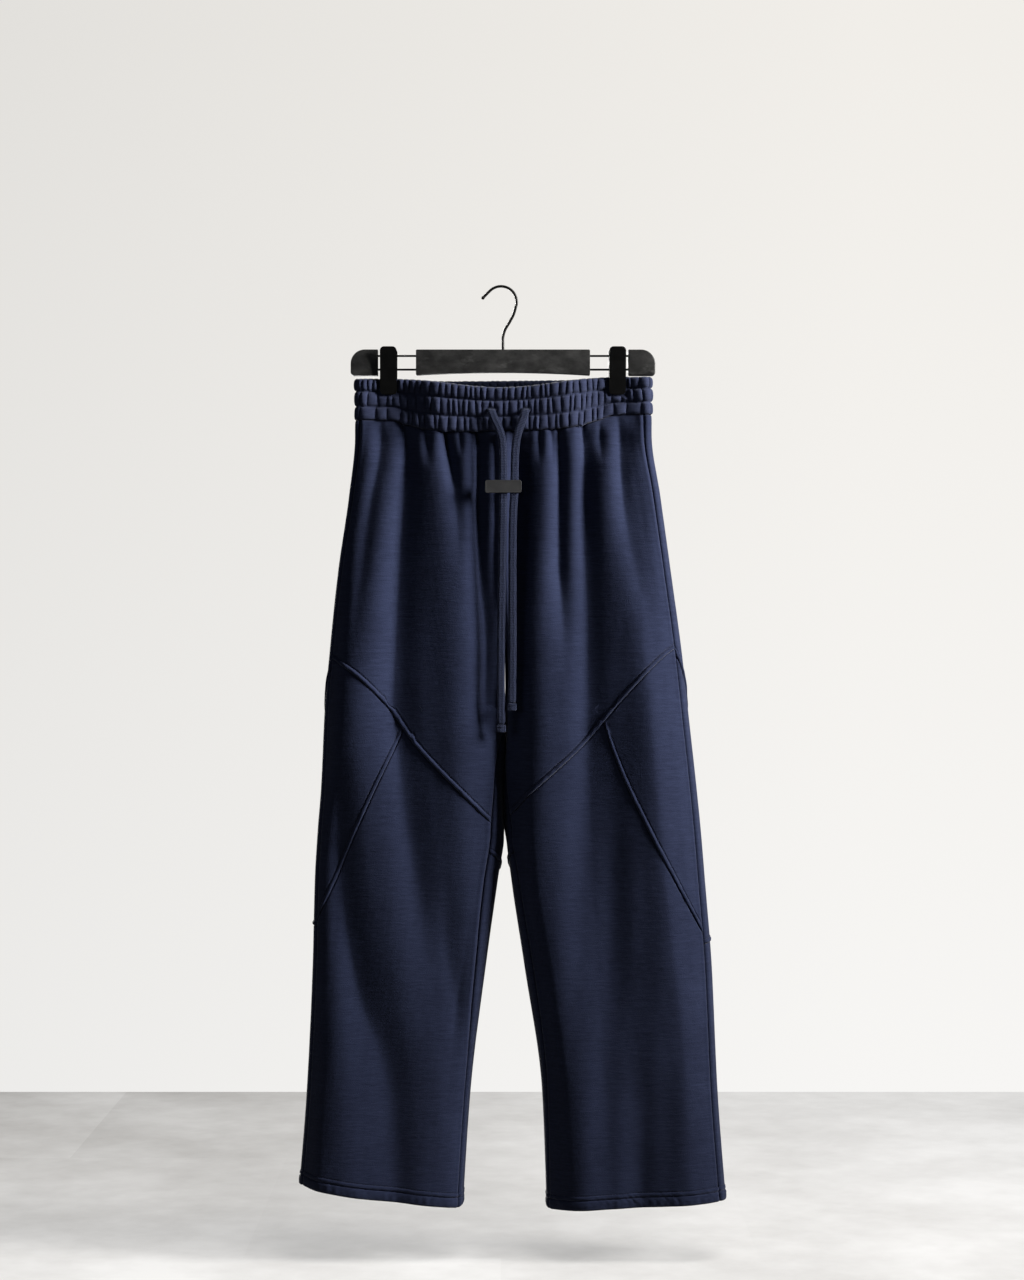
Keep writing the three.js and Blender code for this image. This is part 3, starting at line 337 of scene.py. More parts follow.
@dataclass(frozen=True)
class Crease:
    """One large fold of the cloth: a trough, or a ridge where its depth is below 0.

    The rows hold z, x, depth and the half widths to its -X and +X.
    """

    rows: tuple[tuple[float, float, float, float, float], ...]
    sharpness: float = 1.5

    def push(self, x: Array, z: Array) -> Array:
        """How far the crease moves the cloth out at x, z, or in where negative.

        Args:
            x: x of each point.
            z: heights.

        Returns:
            The outward move in mm.
        """
        heights = [row[0] for row in self.rows]
        middle, depth, left, right = (
            SmoothTable(heights, [row[k] for row in self.rows])(z) for k in range(1, 5)
        )
        inside = (z < max(heights)) & (z > min(heights))
        off = (x - middle) / np.where(x < middle, left, right)
        rounded = np.sqrt(off * off + 0.02) - 0.02
        return np.where(inside, -depth * np.exp(-(rounded**self.sharpness)), 0.0)


FRONT_CREASES = (
    Crease((
        (-152, -117, 2, 8, 9), (-170, -116, 6, 9, 11), (-186, -115.5, 9, 10, 13),
        (-245, -118, 15, 12, 27), (-328, -123, 18, 15, 36), (-423, -127, 18, 18, 45),
        (-494, -130, 18, 20, 50), (-565, -121, 15, 24, 50), (-636, -113, 13, 28, 46),
        (-707, -102, 11, 30, 46), (-778, -90, 9, 34, 44), (-850, -80, 7, 34, 40),
        (-920, -72, 3, 30, 36), (-990, -66, 0, 28, 36),
    )),
    Crease((
        (-156, -69, 2, 5, 8), (-172, -69, 7, 5, 10), (-186, -68, 12, 6, 11), (-222, -62, 10, 7, 13),
        (-250, -57, 7, 8, 13), (-290, -53, 3, 9, 13), (-340, -51, 0, 9, 13),
    )),
    Crease((
        (-158, -33, 2, 5, 8), (-172, -32, 8, 7, 12), (-186, -31, 14, 8, 20), (-257, -31, 15, 8, 20),
        (-330, -28, 15, 10, 20), (-399, -20, 15, 14, 20), (-446, -16, 15, 14, 18),
        (-494, -14, 14, 14, 16), (-545, -12, 0, 14, 14),
    )),
    Crease((
        (-176, -9, 0, 4, 6), (-190, -8.5, 4, 5, 8), (-257, -8.3, 5, 5, 10), (-330, -9, 4, 6, 10),
        (-399, -9, 0, 8, 10),
    )),
    Crease((
        (-162, 13, 2, 6, 8), (-174, 13, 8, 8, 13), (-190, 15, 12, 10, 18), (-245, 17, 16, 10, 18),
        (-328, 15, 15, 10, 17), (-423, 11, 10, 12, 12), (-494, 7, 5, 12, 11), (-545, 4, 0, 12, 12),
    )),
    Crease((
        (-158, 66.4, 2, 4, 7), (-172, 66.6, 8, 5, 9), (-186, 67, 10, 7, 11), (-245, 67, 13, 8, 14),
        (-328, 67, 13, 10, 15), (-399, 71, 7, 12, 16), (-440, 74, 3, 14, 18), (-490, 76, 0, 14, 18),
    )),
    Crease((
        (-152, 97, 3, 6, 10), (-170, 97.5, 9, 7, 15), (-186, 98, 13, 8, 19), (-245, 97, 14, 9, 20),
        (-300, 98, 15, 11, 26), (-350, 100, 15, 14, 34), (-423, 102, 14, 18, 46),
        (-494, 102, 12, 20, 50), (-565, 103, 11, 24, 54), (-636, 105, 10, 26, 60),
        (-778, 112, 9, 30, 66), (-850, 116, 8, 34, 70), (-920, 120, 7, 34, 66), (-1010, 128, 5, 32, 60),
        (-1110, 134, 4, 30, 56),
    )),
    Crease((
        (-290, 168, 0, 30, 20), (-350, 166, -4, 36, 22), (-423, 164, -9, 44, 24), (-494, 170, -11, 50, 26),
        (-636, 182, -12, 56, 26), (-778, 196, -11, 62, 26), (-920, 212, -6, 62, 24),
        (-1110, 222, -3, 60, 22),
    )),
    Crease((
        (-450, 34, 0, 16, 50), (-520, 36, -6, 16, 60), (-636, 38, -8, 16, 60), (-710, 44, -8, 18, 60),
        (-810, 60, -8, 18, 60), (-960, 80, -7, 18, 56), (-1110, 88, -5, 18, 56),
    )),
    Crease((
        (-290, -170, 0, 20, 30), (-423, -186, -5, 18, 40), (-540, -200, -6, 18, 44), (-680, -206, 0, 18, 40),
    )),
    Crease((
        (-850, -205, 0, 26, 40), (-950, -210, -4, 24, 50), (-1110, -212, -6, 24, 60),
    )),
    Crease((
        (-150, 139, 2, 6, 9), (-170, 140, 8, 7, 13), (-186, 141, 11, 8, 16), (-222, 142, 11, 9, 18),
        (-257, 145, 10, 11, 20), (-304, 152, 7, 14, 22), (-352, 163, 5, 16, 22), (-423, 176, 2, 18, 20),
        (-480, 184, 0, 16, 18),
    )),
    Crease((
        (-148, -147, 1, 6, 8), (-170, -147, 5, 7, 10), (-186, -147, 7, 8, 13), (-257, -157, 6, 12, 16),
        (-328, -166, 5, 14, 18), (-390, -174, 3, 14, 18), (-460, -182, 0, 14, 18),
    )),
    Crease((
        (-560, -190, 0, 20, 34), (-636, -196, 6, 18, 44), (-707, -192, 8, 20, 46),
        (-778, -184, 11, 20, 46), (-850, -168, 12, 26, 46), (-920, -142, 12, 34, 42),
        (-990, -132, 10, 38, 40), (-1060, -128, 8, 38, 38), (-1110, -126, 6, 36, 36),
    )),
    Crease((
        (-700, -64, 0, 20, 24), (-778, -66, 4, 22, 24), (-850, -52, 4, 22, 22), (-920, -40, 0, 20, 20),
    )),
    Crease((
        (-920, 172, 0, 24, 30), (-990, 170, 4, 26, 34), (-1060, 166, 6, 28, 34), (-1110, 166, 5, 28, 34),
    )),
    Crease(((-166, 44, 0, 3, 3), (-181, 44, 3.5, 4, 5), (-215, 44, 0, 4, 5))),
    Crease(((-166, 57, 0, 3, 3), (-182, 58, 4, 4, 5), (-220, 58.5, 0, 4, 5))),
    Crease(((-160, 116, 0, 3, 4), (-178, 117, 4, 4, 6), (-212, 119, 0, 5, 6))),
    Crease(((-164, -92, 0, 4, 5), (-180, -91, 4.5, 5, 7), (-220, -88, 0, 6, 7))),
    Crease(((-166, -51, 0, 3, 4), (-181, -50.5, 3.5, 4, 5), (-206, -49, 0, 4, 5))),
)

BACK_CREASES = (
    Crease(((-148, -146, 2, 6, 9), (-190, -147, 9, 9, 14), (-270, -152, 4, 12, 16), (-340, -158, 0, 12, 16))),
    Crease((
        (-156, -98, 3, 7, 10), (-190, -98, 14, 9, 22), (-280, -94, 17, 12, 32),
        (-380, -84, 13, 16, 40), (-470, -78, 8, 20, 44), (-560, -76, 0, 20, 40),
    )),
    Crease(((-160, -58, 1, 5, 7), (-186, -58, 7, 6, 10), (-240, -56, 0, 8, 12))),
    Crease((
        (-160, -34, 2, 6, 8), (-190, -34, 11, 8, 16), (-280, -31, 12, 10, 20), (-370, -28, 6, 12, 20),
        (-440, -26, 0, 12, 20),
    )),
    Crease((
        (-160, 36, 2, 6, 8), (-190, 36, 11, 9, 14), (-290, 34, 12, 12, 18), (-390, 31, 5, 14, 18),
        (-450, 30, 0, 14, 18),
    )),
    Crease(((-160, 62, 1, 5, 7), (-186, 62, 6, 6, 10), (-235, 63, 0, 8, 12))),
    Crease((
        (-154, 90, 3, 7, 10), (-190, 90, 14, 9, 22), (-290, 94, 15, 12, 30),
        (-390, 98, 11, 16, 38), (-470, 101, 6, 20, 40), (-560, 104, 0, 20, 40),
    )),
    Crease(((-146, 146, 2, 6, 9), (-190, 147, 9, 9, 13), (-270, 152, 4, 12, 15), (-340, 160, 0, 12, 15))),
    Crease((
        (-540, -118, 0, 20, 34), (-680, -110, 9, 24, 46), (-860, -124, 11, 28, 48),
        (-1110, -132, 6, 30, 42),
    )),
    Crease((
        (-540, 112, 0, 20, 40), (-680, 118, 10, 26, 54), (-860, 134, 12, 30, 54),
        (-1110, 146, 6, 30, 46),
    )),
)


@dataclass
class Section:
    """Plans of one leg at an array of heights."""

    sign: int
    z: Array
    share: Array
    middle: Array
    half: Array
    front: Array
    back: Array
    side_angle: Array
    inseam_angle: Array


def pinch(x: Array, z: Array) -> Array:
    """How firmly the clips hold front and back together at x, z.

    Args:
        x: x of each point.
        z: heights.

    Returns:
        1 where they touch, down to 0.
    """
    off = np.abs(x) - CLIP_X
    inwards = 1 - smoothstep(-off, *PINCH_INWARDS)
    outwards = 1 - PINCH_OPENS_OUTWARDS * smoothstep(off, *PINCH_OUTWARDS)
    return np.where(off < 0, inwards, outwards) * smoothstep(z, *PINCH_Z)


def plan_point(section: Section, angle: Array) -> tuple[Array, Array]:
    """A leg's plan at an angle: 0 is the outer extreme, pi the inner, front positive.

    Args:
        section: plans, with arrays that broadcast against angle.
        angle: angles round the plan, in radians.

    Returns:
        The x and y of each point, in mm about the garment's middle.
    """
    c = np.cos(angle)
    x = section.sign * (section.middle + section.half * signed_power(c, 2 / SQUARENESS))
    flat = np.where(c < 0, section.share**SQUARENESS, 0.0)
    on_front = np.sin(angle) >= 0
    depth = np.where(on_front, section.front, section.back)
    free = depth * np.maximum(1 - (1 - flat) * c * c, 0) ** (1 / SQUARENESS)
    held = pinch(x, section.z)
    depth = free + (np.minimum(free, GRIP_Y) - free) * held
    return x, np.where(on_front, -depth, depth)


class LegForm:
    """One leg's cloth surface, as a function of height and of u, which runs from side seam to inseam."""

    U_STEPS = 256
    Z_STEP = 2.5
    LEVELS = (-1120.0, -88.0)
    TOUCHING = (500, 520, 640, 668)
    TOUCH_REACH = 14
    TOUCH_PUSH = 2.2

    def __init__(self, side: Side) -> None:
        """Measures the plans once, so that points can be placed by length along them.

        Args:
            side: whose leg it is.
        """
        self.side = side
        rows = SECTIONS[side]
        heights = [row[0] for row in rows]
        self.columns = [SmoothTable(heights, [row[k] for row in rows]) for k in range(1, 6)]
        self.creases = {Face.FRONT: FRONT_CREASES, Face.BACK: BACK_CREASES}
        self.swell = {face: Ripple(seed + 7 * side.sign, (46, 90), 4) for face, seed in
                      ((Face.FRONT, 20), (Face.BACK, 40))}
        self.levels = np.arange(*self.LEVELS, self.Z_STEP)
        self.angles, self.lengths = {}, {}
        for face in Face:
            self._measure(face)

    def section(self, z: Array) -> Section:
        """The leg's plans at heights z.

        Args:
            z: heights.

        Returns:
            The plans, with one value of each measure for each height.
        """
        outer, inner, inset, front, back = (column(z) for column in self.columns)
        t = np.clip((RISE_TOP_Z - z) / (RISE_TOP_Z - CROTCH_Z), 0, 1)
        share = np.sqrt(1 - t**3)
        outer = outer - CLOTH / 2
        inner = inner + SEAM_GAP / 2 + (CLOTH / 2) * (1 - share**2)
        half = (outer - inner) / 2

        def angle_at(depth_in: Array) -> Array:
            """Angle of a seam that lies this far inside the outline."""
            return np.arccos(np.clip(1 - depth_in / half, 0, 1) ** (SQUARENESS / 2))

        return Section(
            self.side.sign, z, share, (outer + inner) / 2, half, front, back,
            angle_at(SIDE_INSET[self.side]), np.pi - angle_at(inset),
        )

    def _measure(self, face: Face) -> None:
        """Tabulates the angle at each u for every level, on one face.

        Args:
            face: front or back.
        """
        section = self.section(self.levels[:, None])
        inseam = np.where(section.share > 0, np.pi, section.inseam_angle)
        end = inseam if face is Face.FRONT else inseam - 2 * np.pi
        t = np.linspace(0, 1, 161)[None, :]
        angles = section.side_angle * (1 - t) + end * t
        x, y = plan_point(section, angles)
        steps = np.hypot(np.diff(x, axis=1), np.diff(y, axis=1))
        run = np.concatenate([np.zeros((len(x), 1)), np.cumsum(steps, axis=1)], axis=1)
        wanted = np.linspace(0, 1, self.U_STEPS + 1)
        rows = [np.interp(wanted * r[-1], r, a) for r, a in zip(run, angles)]
        self.angles[face] = np.array(rows)
        self.lengths[face] = run[:, -1]

    def length(self, face: Face, z: Array) -> Array:
        """Length of the front or back of the plan at z."""
        return np.interp(z, self.levels, self.lengths[face])

    def angle(self, face: Face, z: Array, u: Array) -> Array:
        """Angle round the plan at height z and share u.

        Args:
            face: front or back.
            z: heights.
            u: shares from side seam to inseam.

        Returns:
            Angles in radians.
        """
        table = self.angles[face]
        row = np.clip((z - self.levels[0]) / self.Z_STEP, 0, len(self.levels) - 1.001)
        col = np.clip(u, 0, 1) * self.U_STEPS
        i, j = row.astype(int), np.minimum(col.astype(int), self.U_STEPS - 1)
        a, b = row - i, col - j
        low = table[i, j] * (1 - b) + table[i, j + 1] * b
        high = table[i + 1, j] * (1 - b) + table[i + 1, j + 1] * b
        return low * (1 - a) + high * a

    def out_at(self, face: Face, z: Array, u: Array) -> Array:
        """Distance from the garment's middle at z, u."""
        return self.side.sign * plan_point(self.section(z), self.angle(face, z, u))[0]

    def point(self, face: Face, z: Array, u: Array) -> Array:
        """Middle of the cloth at heights z and shares u, with its large folds.

        Args:
            face: front or back.
            z: heights.
            u: shares from side seam to inseam.

        Returns:
            Points in mm, about the garment's middle.
        """
        section = self.section(z)
        angle = self.angle(face, z, u)
        limit = np.where(section.share > 0, np.pi, np.inf)
        x, y = plan_point(section, np.clip(angle, -limit, limit))
        x1, y1 = plan_point(section, np.clip(angle + 0.01, -limit, limit))
        x0, y0 = plan_point(section, np.clip(angle - 0.01, -limit, limit))
        nx, ny = (y0 - y1) * self.side.sign, (x1 - x0) * self.side.sign
        size = np.hypot(nx, ny) + 1e-12
        push = self.fold(face, section, x, z)
        x, y = x + nx / size * push, y + ny / size * push
        return np.stack([x + self.press(section, x, y, z), y, z + 0 * x], axis=-1)

    def press(self, section: Section, x: Array, y: Array, z: Array) -> Array:
        """How the two legs bend each other where they touch, by the same amount at the same place.

        Args:
            section: the plans at z.
            x: x of each point.
            y: y of each point.
            z: heights.

        Returns:
            The move along X in mm.
        """
        near = bell(section.sign * x - (section.middle - section.half), self.TOUCH_REACH)
        begins, begun, ends, ended = self.TOUCHING
        touching = smoothstep(-z, begins, begun) * (1 - smoothstep(-z, ends, ended))
        return self.TOUCH_PUSH * np.cos(y / 8.0 + z / 30) * near * touching

    def fold(self, face: Face, section: Section, x: Array, z: Array) -> Array:
        """How far the folds move the cloth out, or in where negative.

        Args:
            face: front or back.
            section: the plans at z.
            x: x of each point.
            z: heights.

        Returns:
            The outward move in mm.
        """
        push = sum(crease.push(x, z) for crease in self.creases[face])
        push = push + SWELL * self.swell[face](x, 0.3 * z)
        from_outer = section.middle + section.half - section.sign * x
        from_inner = section.sign * x - (section.middle - section.half)
        inner_fade = smoothstep(from_inner, *EDGE_FADE)
        inner_fade = inner_fade + (1 - inner_fade) * section.share
        return push * smoothstep(from_outer, *EDGE_FADE) * inner_fade * (1 - pinch(x, z) ** 2)

    def normal(self, face: Face, z: Array, u: Array) -> Array:
        """Outward normals of the cloth.

        Args:
            face: front or back.
            z: heights.
            u: shares from side seam to inseam.

        Returns:
            A unit vector at each point.
        """
        step = 0.004
        round_ = self.point(face, z, u + step) - self.point(face, z, u - step)
        down = self.point(face, z - 1.0, u) - self.point(face, z + 1.0, u)
        return unit(np.cross(round_, down)) * self.side.sign * (1 if face is Face.FRONT else -1)


# ------------ seams
class SeamLines:
    """Heights of one leg's seams at each u."""

    STEPS = 400

    def __init__(self, form: LegForm) -> None:
        """Solves every seam of the leg once.

        Args:
            form: the leg's surface.
        """
        side = form.side
        self.form, self.u = form, np.linspace(0, 1, self.STEPS + 1)
        thigh = SmoothTable(*zip(*THIGH_SEAM[side]))
        meet_at = SEAMS_MEET_AT[side]
        knee = SmoothTable(*zip((meet_at, float(thigh(meet_at))), *KNEE_SEAM[side]))
        self.tables = {
            "front_waist": self._settle(Face.FRONT, self._waist(Face.FRONT), -170),
            "back_waist": self._settle(Face.BACK, self._waist(Face.BACK), -170),
            "front_thigh": self._settle(Face.FRONT, thigh, -500),
            "front_knee": self._settle(Face.FRONT, knee, -600),
            "hem": SmoothTable(*zip(*HEM[side]))(self.u),
        }
        end = BACK_KNEE_END[side]
        back_knee = end + (BACK_KNEE_IN_Z - end) * self.u - BACK_KNEE_BOW * np.sin(np.pi * self.u)
        t = self.u / BACK_MEET_U
        bent = t - BACK_THIGH_BOW * t * (1 - t)
        low = float(np.interp(BACK_MEET_U, self.u, back_knee))
        self.tables["back_knee"] = back_knee
        self.tables["back_thigh"] = BACK_THIGH_TOP[side] + (low - BACK_THIGH_TOP[side]) * bent
        out = form.out_at(Face.FRONT, self.tables["front_thigh"], self.u)
        self.front_meet = float(np.interp(-meet_at, -out, self.u))
        lower = np.where(self.u < self.front_meet, self.tables["front_knee"], self.tables["front_thigh"])
        self.tables["front_leg_top"] = lower
        upper = np.where(self.u < BACK_MEET_U, self.tables["back_thigh"], back_knee)
        self.tables["back_upper_bottom"] = upper

    def _waist(self, face: Face) -> Field:
        """The waistband's lower edge as a height at each distance from the middle."""
        sign = self.form.side.sign
        return lambda out: waist_height(sign * out, face)

    def _settle(self, face: Face, height_at: Field, start: float) -> Array:
        """Finds the height of a seam that depends on the x it is at.

        Args:
            face: front or back.
            height_at: its height at each distance from the middle.
            start: a first guess.

        Returns:
            Its height at each u.
        """
        z = np.full_like(self.u, start)
        for _ in range(14):
            z = height_at(self.form.out_at(face, z, self.u))
        return z

    def height(self, name: str, u: Array) -> Array:
        """Height of a seam at shares u."""
        return np.interp(u, self.u, self.tables[name])

    def slope(self, name: str, face: Face, u: Array) -> Array:
        """Rise of a seam for each mm along the cloth.

        Args:
            name: the seam.
            face: front or back.
            u: shares from side seam to inseam.

        Returns:
            The slope at each u.
        """
        step = 0.008
        low, high = np.clip(u - step, 0, 1), np.clip(u + step, 0, 1)
        run = self.form.length(face, self.height(name, u)) * (high - low)
        return (self.height(name, high) - self.height(name, low)) / run


# ------------ meshes
def smooth_object(mesh: bpy.types.Mesh) -> bpy.types.Object:
    """Puts a mesh in the scene, shaded smooth, as an object of the same name.

    Args:
        mesh: the finished mesh.

    Returns:
        The new object.
    """
    mesh.polygons.foreach_set("use_smooth", np.ones(len(mesh.polygons), dtype=bool))
    piece = bpy.data.objects.new(mesh.name, mesh)
    bpy.context.scene.collection.objects.link(piece)
    return piece


def add_object(name: str, points: Array, faces: Array, uv: Optional[Array] = None) -> bpy.types.Object:
    """Makes a smooth-shaded mesh object from arrays.

    Args:
        name: the piece's name.
        points: corner points in metres, in the frame.
        faces: rows of four corner numbers.
        uv: one pair for each corner point, in metres along and down the cloth.

    Returns:
        The new object, in the scene.
    """
    mesh = bpy.data.meshes.new(name)
    mesh.vertices.add(len(points))
    mesh.vertices.foreach_set("co", np.asarray(points, dtype=np.float32).ravel())
    mesh.loops.add(faces.size)
    mesh.loops.foreach_set("vertex_index", faces.ravel().astype(np.int32))
    mesh.polygons.add(len(faces))
    mesh.polygons.foreach_set("loop_start", np.arange(0, faces.size, faces.shape[1], dtype=np.int32))
    mesh.update(calc_edges=True)
    if uv is not None:
        layer = mesh.uv_layers.new(name="cloth")
        layer.data.foreach_set("uv", np.asarray(uv, dtype=np.float32)[faces.ravel()].ravel())
    mesh.validate()
    return smooth_object(mesh)


def quads(first: Array, second: Array, third: Array, fourth: Array) -> Array:
    """Rows of four corner numbers from four arrays of them."""
    return listed(first, second, third, fourth)


def turned_out(points: Array, faces: Array) -> Array:
    """Turns a closed surface's faces over if they point inwards.

    Args:
        points: its corner points.
        faces: rows of four corner numbers.

    Returns:
        The faces, all pointing outwards.
    """
    a, b, c, d = (points[faces[:, k]] for k in range(4))
    volume = np.einsum("ij,ij->", a, np.cross(b, c)) + np.einsum("ij,ij->", a, np.cross(c, d))
    return faces if volume > 0 else faces[:, ::-1]


def shell_faces(rows: int, cols: int) -> Array:
    """Faces of a wall whose outside grid is followed by its inside grid.

    Args:
        rows: of each grid.
        cols: of each grid.

    Returns:
        Rows of four corner numbers.
    """
    grid = np.arange(rows * cols).reshape(rows, cols)
    back = grid + rows * cols
    outside = quads(grid[:-1, :-1], grid[1:, :-1], grid[1:, 1:], grid[:-1, 1:])
    inside = quads(back[:-1, :-1], back[:-1, 1:], back[1:, 1:], back[1:, :-1])
    rims = [
        quads(grid[0, :-1], grid[0, 1:], back[0, 1:], back[0, :-1]),
        quads(grid[-1, :-1], back[-1, :-1], back[-1, 1:], grid[-1, 1:]),
        quads(grid[:-1, 0], back[:-1, 0], back[1:, 0], grid[1:, 0]),
        quads(grid[:-1, -1], grid[1:, -1], back[1:, -1], back[:-1, -1]),
    ]
    return np.concatenate([outside, inside, *rims])


def tube_faces(rings: int, sides: int, closed: bool = False) -> Array:
    """Faces round a tube of rings; an open tube's ends are closed by the rings themselves.

    Args:
        rings: how many rings.
        sides: points in a ring.
        closed: whether the last ring joins the first.

    Returns:
        Rows of four corner numbers.
    """
    grid = np.arange(rings * sides).reshape(rings, sides)
    beside, below = np.roll(grid, -1, axis=1), np.roll(grid, -1, axis=0)
    corners = (grid, beside, np.roll(below, -1, axis=1), below)
    last = rings if closed else rings - 1
    return quads(*(corner[:last] for corner in corners))


# ------------ finishes
class Nodes:
    """A node tree, emptied, with short ways to add and join its nodes."""

    def __init__(self, tree: bpy.types.NodeTree) -> None:
        """Empties the tree."""
        self.nodes, self.links = tree.nodes, tree.links
        self.nodes.clear()

    def add(self, kind: str, inputs: Optional[dict] = None, **settings: object) -> bpy.types.Node:
        """Adds a node, sets its properties, and sets or joins its inputs.

        Args:
            kind: its type, without the common start.
            inputs: a value or socket for each input.
            settings: its properties.

        Returns:
            The node.
        """
        node = self.nodes.new(f"ShaderNode{kind}")
        for key, value in settings.items():
            setattr(node, key, value)
        for key, value in (inputs or {}).items():
            self.feed(node.inputs[key], value)
        return node

    def feed(self, socket: Socket, value: Input) -> None:
        """Joins a socket to another, or sets its number or its colour.

        Args:
            socket: the input.
            value: a number, a colour or another socket.
        """
        if isinstance(value, Socket):
            self.links.new(value, socket)
        elif socket.type == "RGBA":
            socket.default_value = (*value, 1.0)
        else:
            socket.default_value = value

    def scaled(self, source: Socket, scale: Point) -> Socket:
        """Coordinates multiplied on each axis."""
        return self.add("Mapping", {"Vector": source, "Scale": scale}).outputs[0]

    def noise(self, source: Socket, scale: float, detail: float = 2.0, rough: float = 0.5) -> Socket:
        """Noise at a scale of features per metre."""
        inputs = {"Vector": source, "Scale": scale, "Detail": detail, "Roughness": rough}
        return self.add("TexNoise", inputs).outputs["Fac"]

    def maths(self, operation: str, first: Input, second: Input = 0.0) -> Socket:
        """One arithmetic step on numbers or sockets."""
        return self.add("Math", {0: first, 1: second}, operation=operation).outputs[0]

    def times(self, first: Input, second: Input) -> Socket:
        """The product of two numbers or sockets."""
        return self.maths("MULTIPLY", first, second)

    def plus(self, *parts: Input) -> Socket:
        """The sum of numbers or sockets."""
        return reduce(lambda total, part: self.maths("ADD", total, part), parts)

    def ramp(self, source: Socket, low: float, high: float) -> Socket:
        """Spreads low..high to 0..1, held at the ends."""
        inputs = {"Value": source, "From Min": low, "From Max": high}
        return self.add("MapRange", inputs, clamp=True).outputs[0]

    def mix(self, share: Input, first: Input, second: Input) -> Socket:
        """A colour between two."""
        return self.add("Mix", {0: share, 6: first, 7: second}, data_type="RGBA").outputs[2]

    def bump(self, height: Socket, strength: float, distance: float,
             below: Optional[Socket] = None) -> Socket:
        """A bump in metres, over another where one is given.

        Args:
            height: the relief, 0 to 1.
            strength: how much of it shows.
            distance: its depth.
            below: a normal that it adds to.

        Returns:
            The normal.
        """
        inputs = {"Height": height, "Strength": strength, "Distance": distance}
        if below is not None:
            inputs["Normal"] = below
        return self.add("Bump", inputs).outputs[0]


class Board(Nodes):
    """A new material's node board, round a Principled shader."""

    def __init__(self, name: str, use_uv: bool) -> None:
        """Starts the material and its coordinates.

        Args:
            name: the material's name.
            use_uv: whether it reads the piece's own UV map, and not Object coordinates.
        """
        self.material = bpy.data.materials.new(name)
        self.material.use_nodes = True
        super().__init__(self.material.node_tree)
        self.shader = self.add("BsdfPrincipled")
        self.add("OutputMaterial", {0: self.shader.outputs[0]})
        if use_uv:
            self.place = self.add("UVMap", uv_map="cloth").outputs["UV"]
        else:
            self.place = self.add("TexCoord").outputs["Object"]

    def finish(self, colour: Input, roughness: Input, normal: Optional[Socket] = None,
               **sockets: float) -> bpy.types.Material:
        """Joins the shader, sets its other sockets and returns the material.

        Args:
            colour: the base colour.
            roughness: the roughness.
            normal: the bumped normal.
            sockets: other numbers, by socket name with _ for a space.

        Returns:
            The material.
        """
        self.feed(self.shader.inputs["Base Color"], colour)
        self.feed(self.shader.inputs["Roughness"], roughness)
        if normal is not None:
            self.feed(self.shader.inputs["Normal"], normal)
        for key, value in sockets.items():
            self.shader.inputs[key.replace("_", " ")].default_value = value
        return self.material


@dataclass(frozen=True)
class Finish:
    """A material's name and the two colours between which it wanders."""

    name: str
    dark: Colour
    light: Colour


@dataclass(frozen=True)
class FleeceFinish(Finish):
    """Brushed fleece: a heathered knit with short horizontal streaks and a soft nap."""

    streaks: Point = (80, 560, 1)
    slubs: Point = (30, 270, 1)
    nap: float = 0.0007

    def make(self) -> bpy.types.Material:
        """Builds the material on the cloth's own UV map.

        Returns:
            The material.
        """
        board = Board(self.name, use_uv=True)
        streaks = board.noise(board.scaled(board.place, self.streaks), 1.0, 3.0, 0.65)
        slubs = board.noise(board.scaled(board.place, self.slubs), 1.0, 2.0, 0.5)
        speckle = board.noise(board.place, 900.0, 2.0, 0.6)
        cloud = board.noise(board.place, 16.0, 2.0)
        share = board.plus(
            board.times(streaks, 0.55), board.times(slubs, 0.3),
            board.times(speckle, 0.3), board.times(cloud, 0.25),
        )
        colour = board.mix(board.ramp(share, 0.5, 0.9), self.dark, self.light)
        normal = board.bump(streaks, 0.35, self.nap, board.bump(speckle, 0.4, self.nap))
        return board.finish(
            colour, 0.92, normal, Sheen_Weight=0.1, Sheen_Roughness=0.45, Specular_IOR_Level=0.12,
        )


@dataclass(frozen=True)
class BraidFinish(Finish):
    """A flat braid: two sets of yarns crossing in chevrons, with lengthwise ribs, and painted shade, darker
    in the grooves and lighter on the crowns.
    """

    ribs: float = 1650.0
    chevrons: float = 520.0
    slant: float = 0.5

    def make(self) -> bpy.types.Material:
        """Builds the material on the cord's own UV map.

        Returns:
            The material.
        """
        board = Board(self.name, use_uv=True)
        split = board.add("SeparateXYZ", {0: board.place})
        across = board.maths("ABSOLUTE", board.maths("SINE", board.times(split.outputs[0], self.ribs)))
        rows = board.plus(board.times(split.outputs[1], self.chevrons), board.times(across, self.slant))
        yarn = board.maths("ABSOLUTE", board.maths("SINE", board.times(rows, math.pi)))
        height = board.plus(yarn, board.times(board.noise(board.place, 1400.0, 2.0), 0.5))
        # painted shade and highlight: the colour follows the relief, darker in the grooves between yarns and
        # ribs, lighter on their crowns
        painted_yarn_shade = board.ramp(board.plus(height, across), 0.3, 2.2)
        return board.finish(
            board.mix(painted_yarn_shade, self.dark, self.light), 0.85, board.bump(height, 0.8, 0.0006),
            Sheen_Weight=0.1, Sheen_Roughness=0.5, Specular_IOR_Level=0.15,
        )


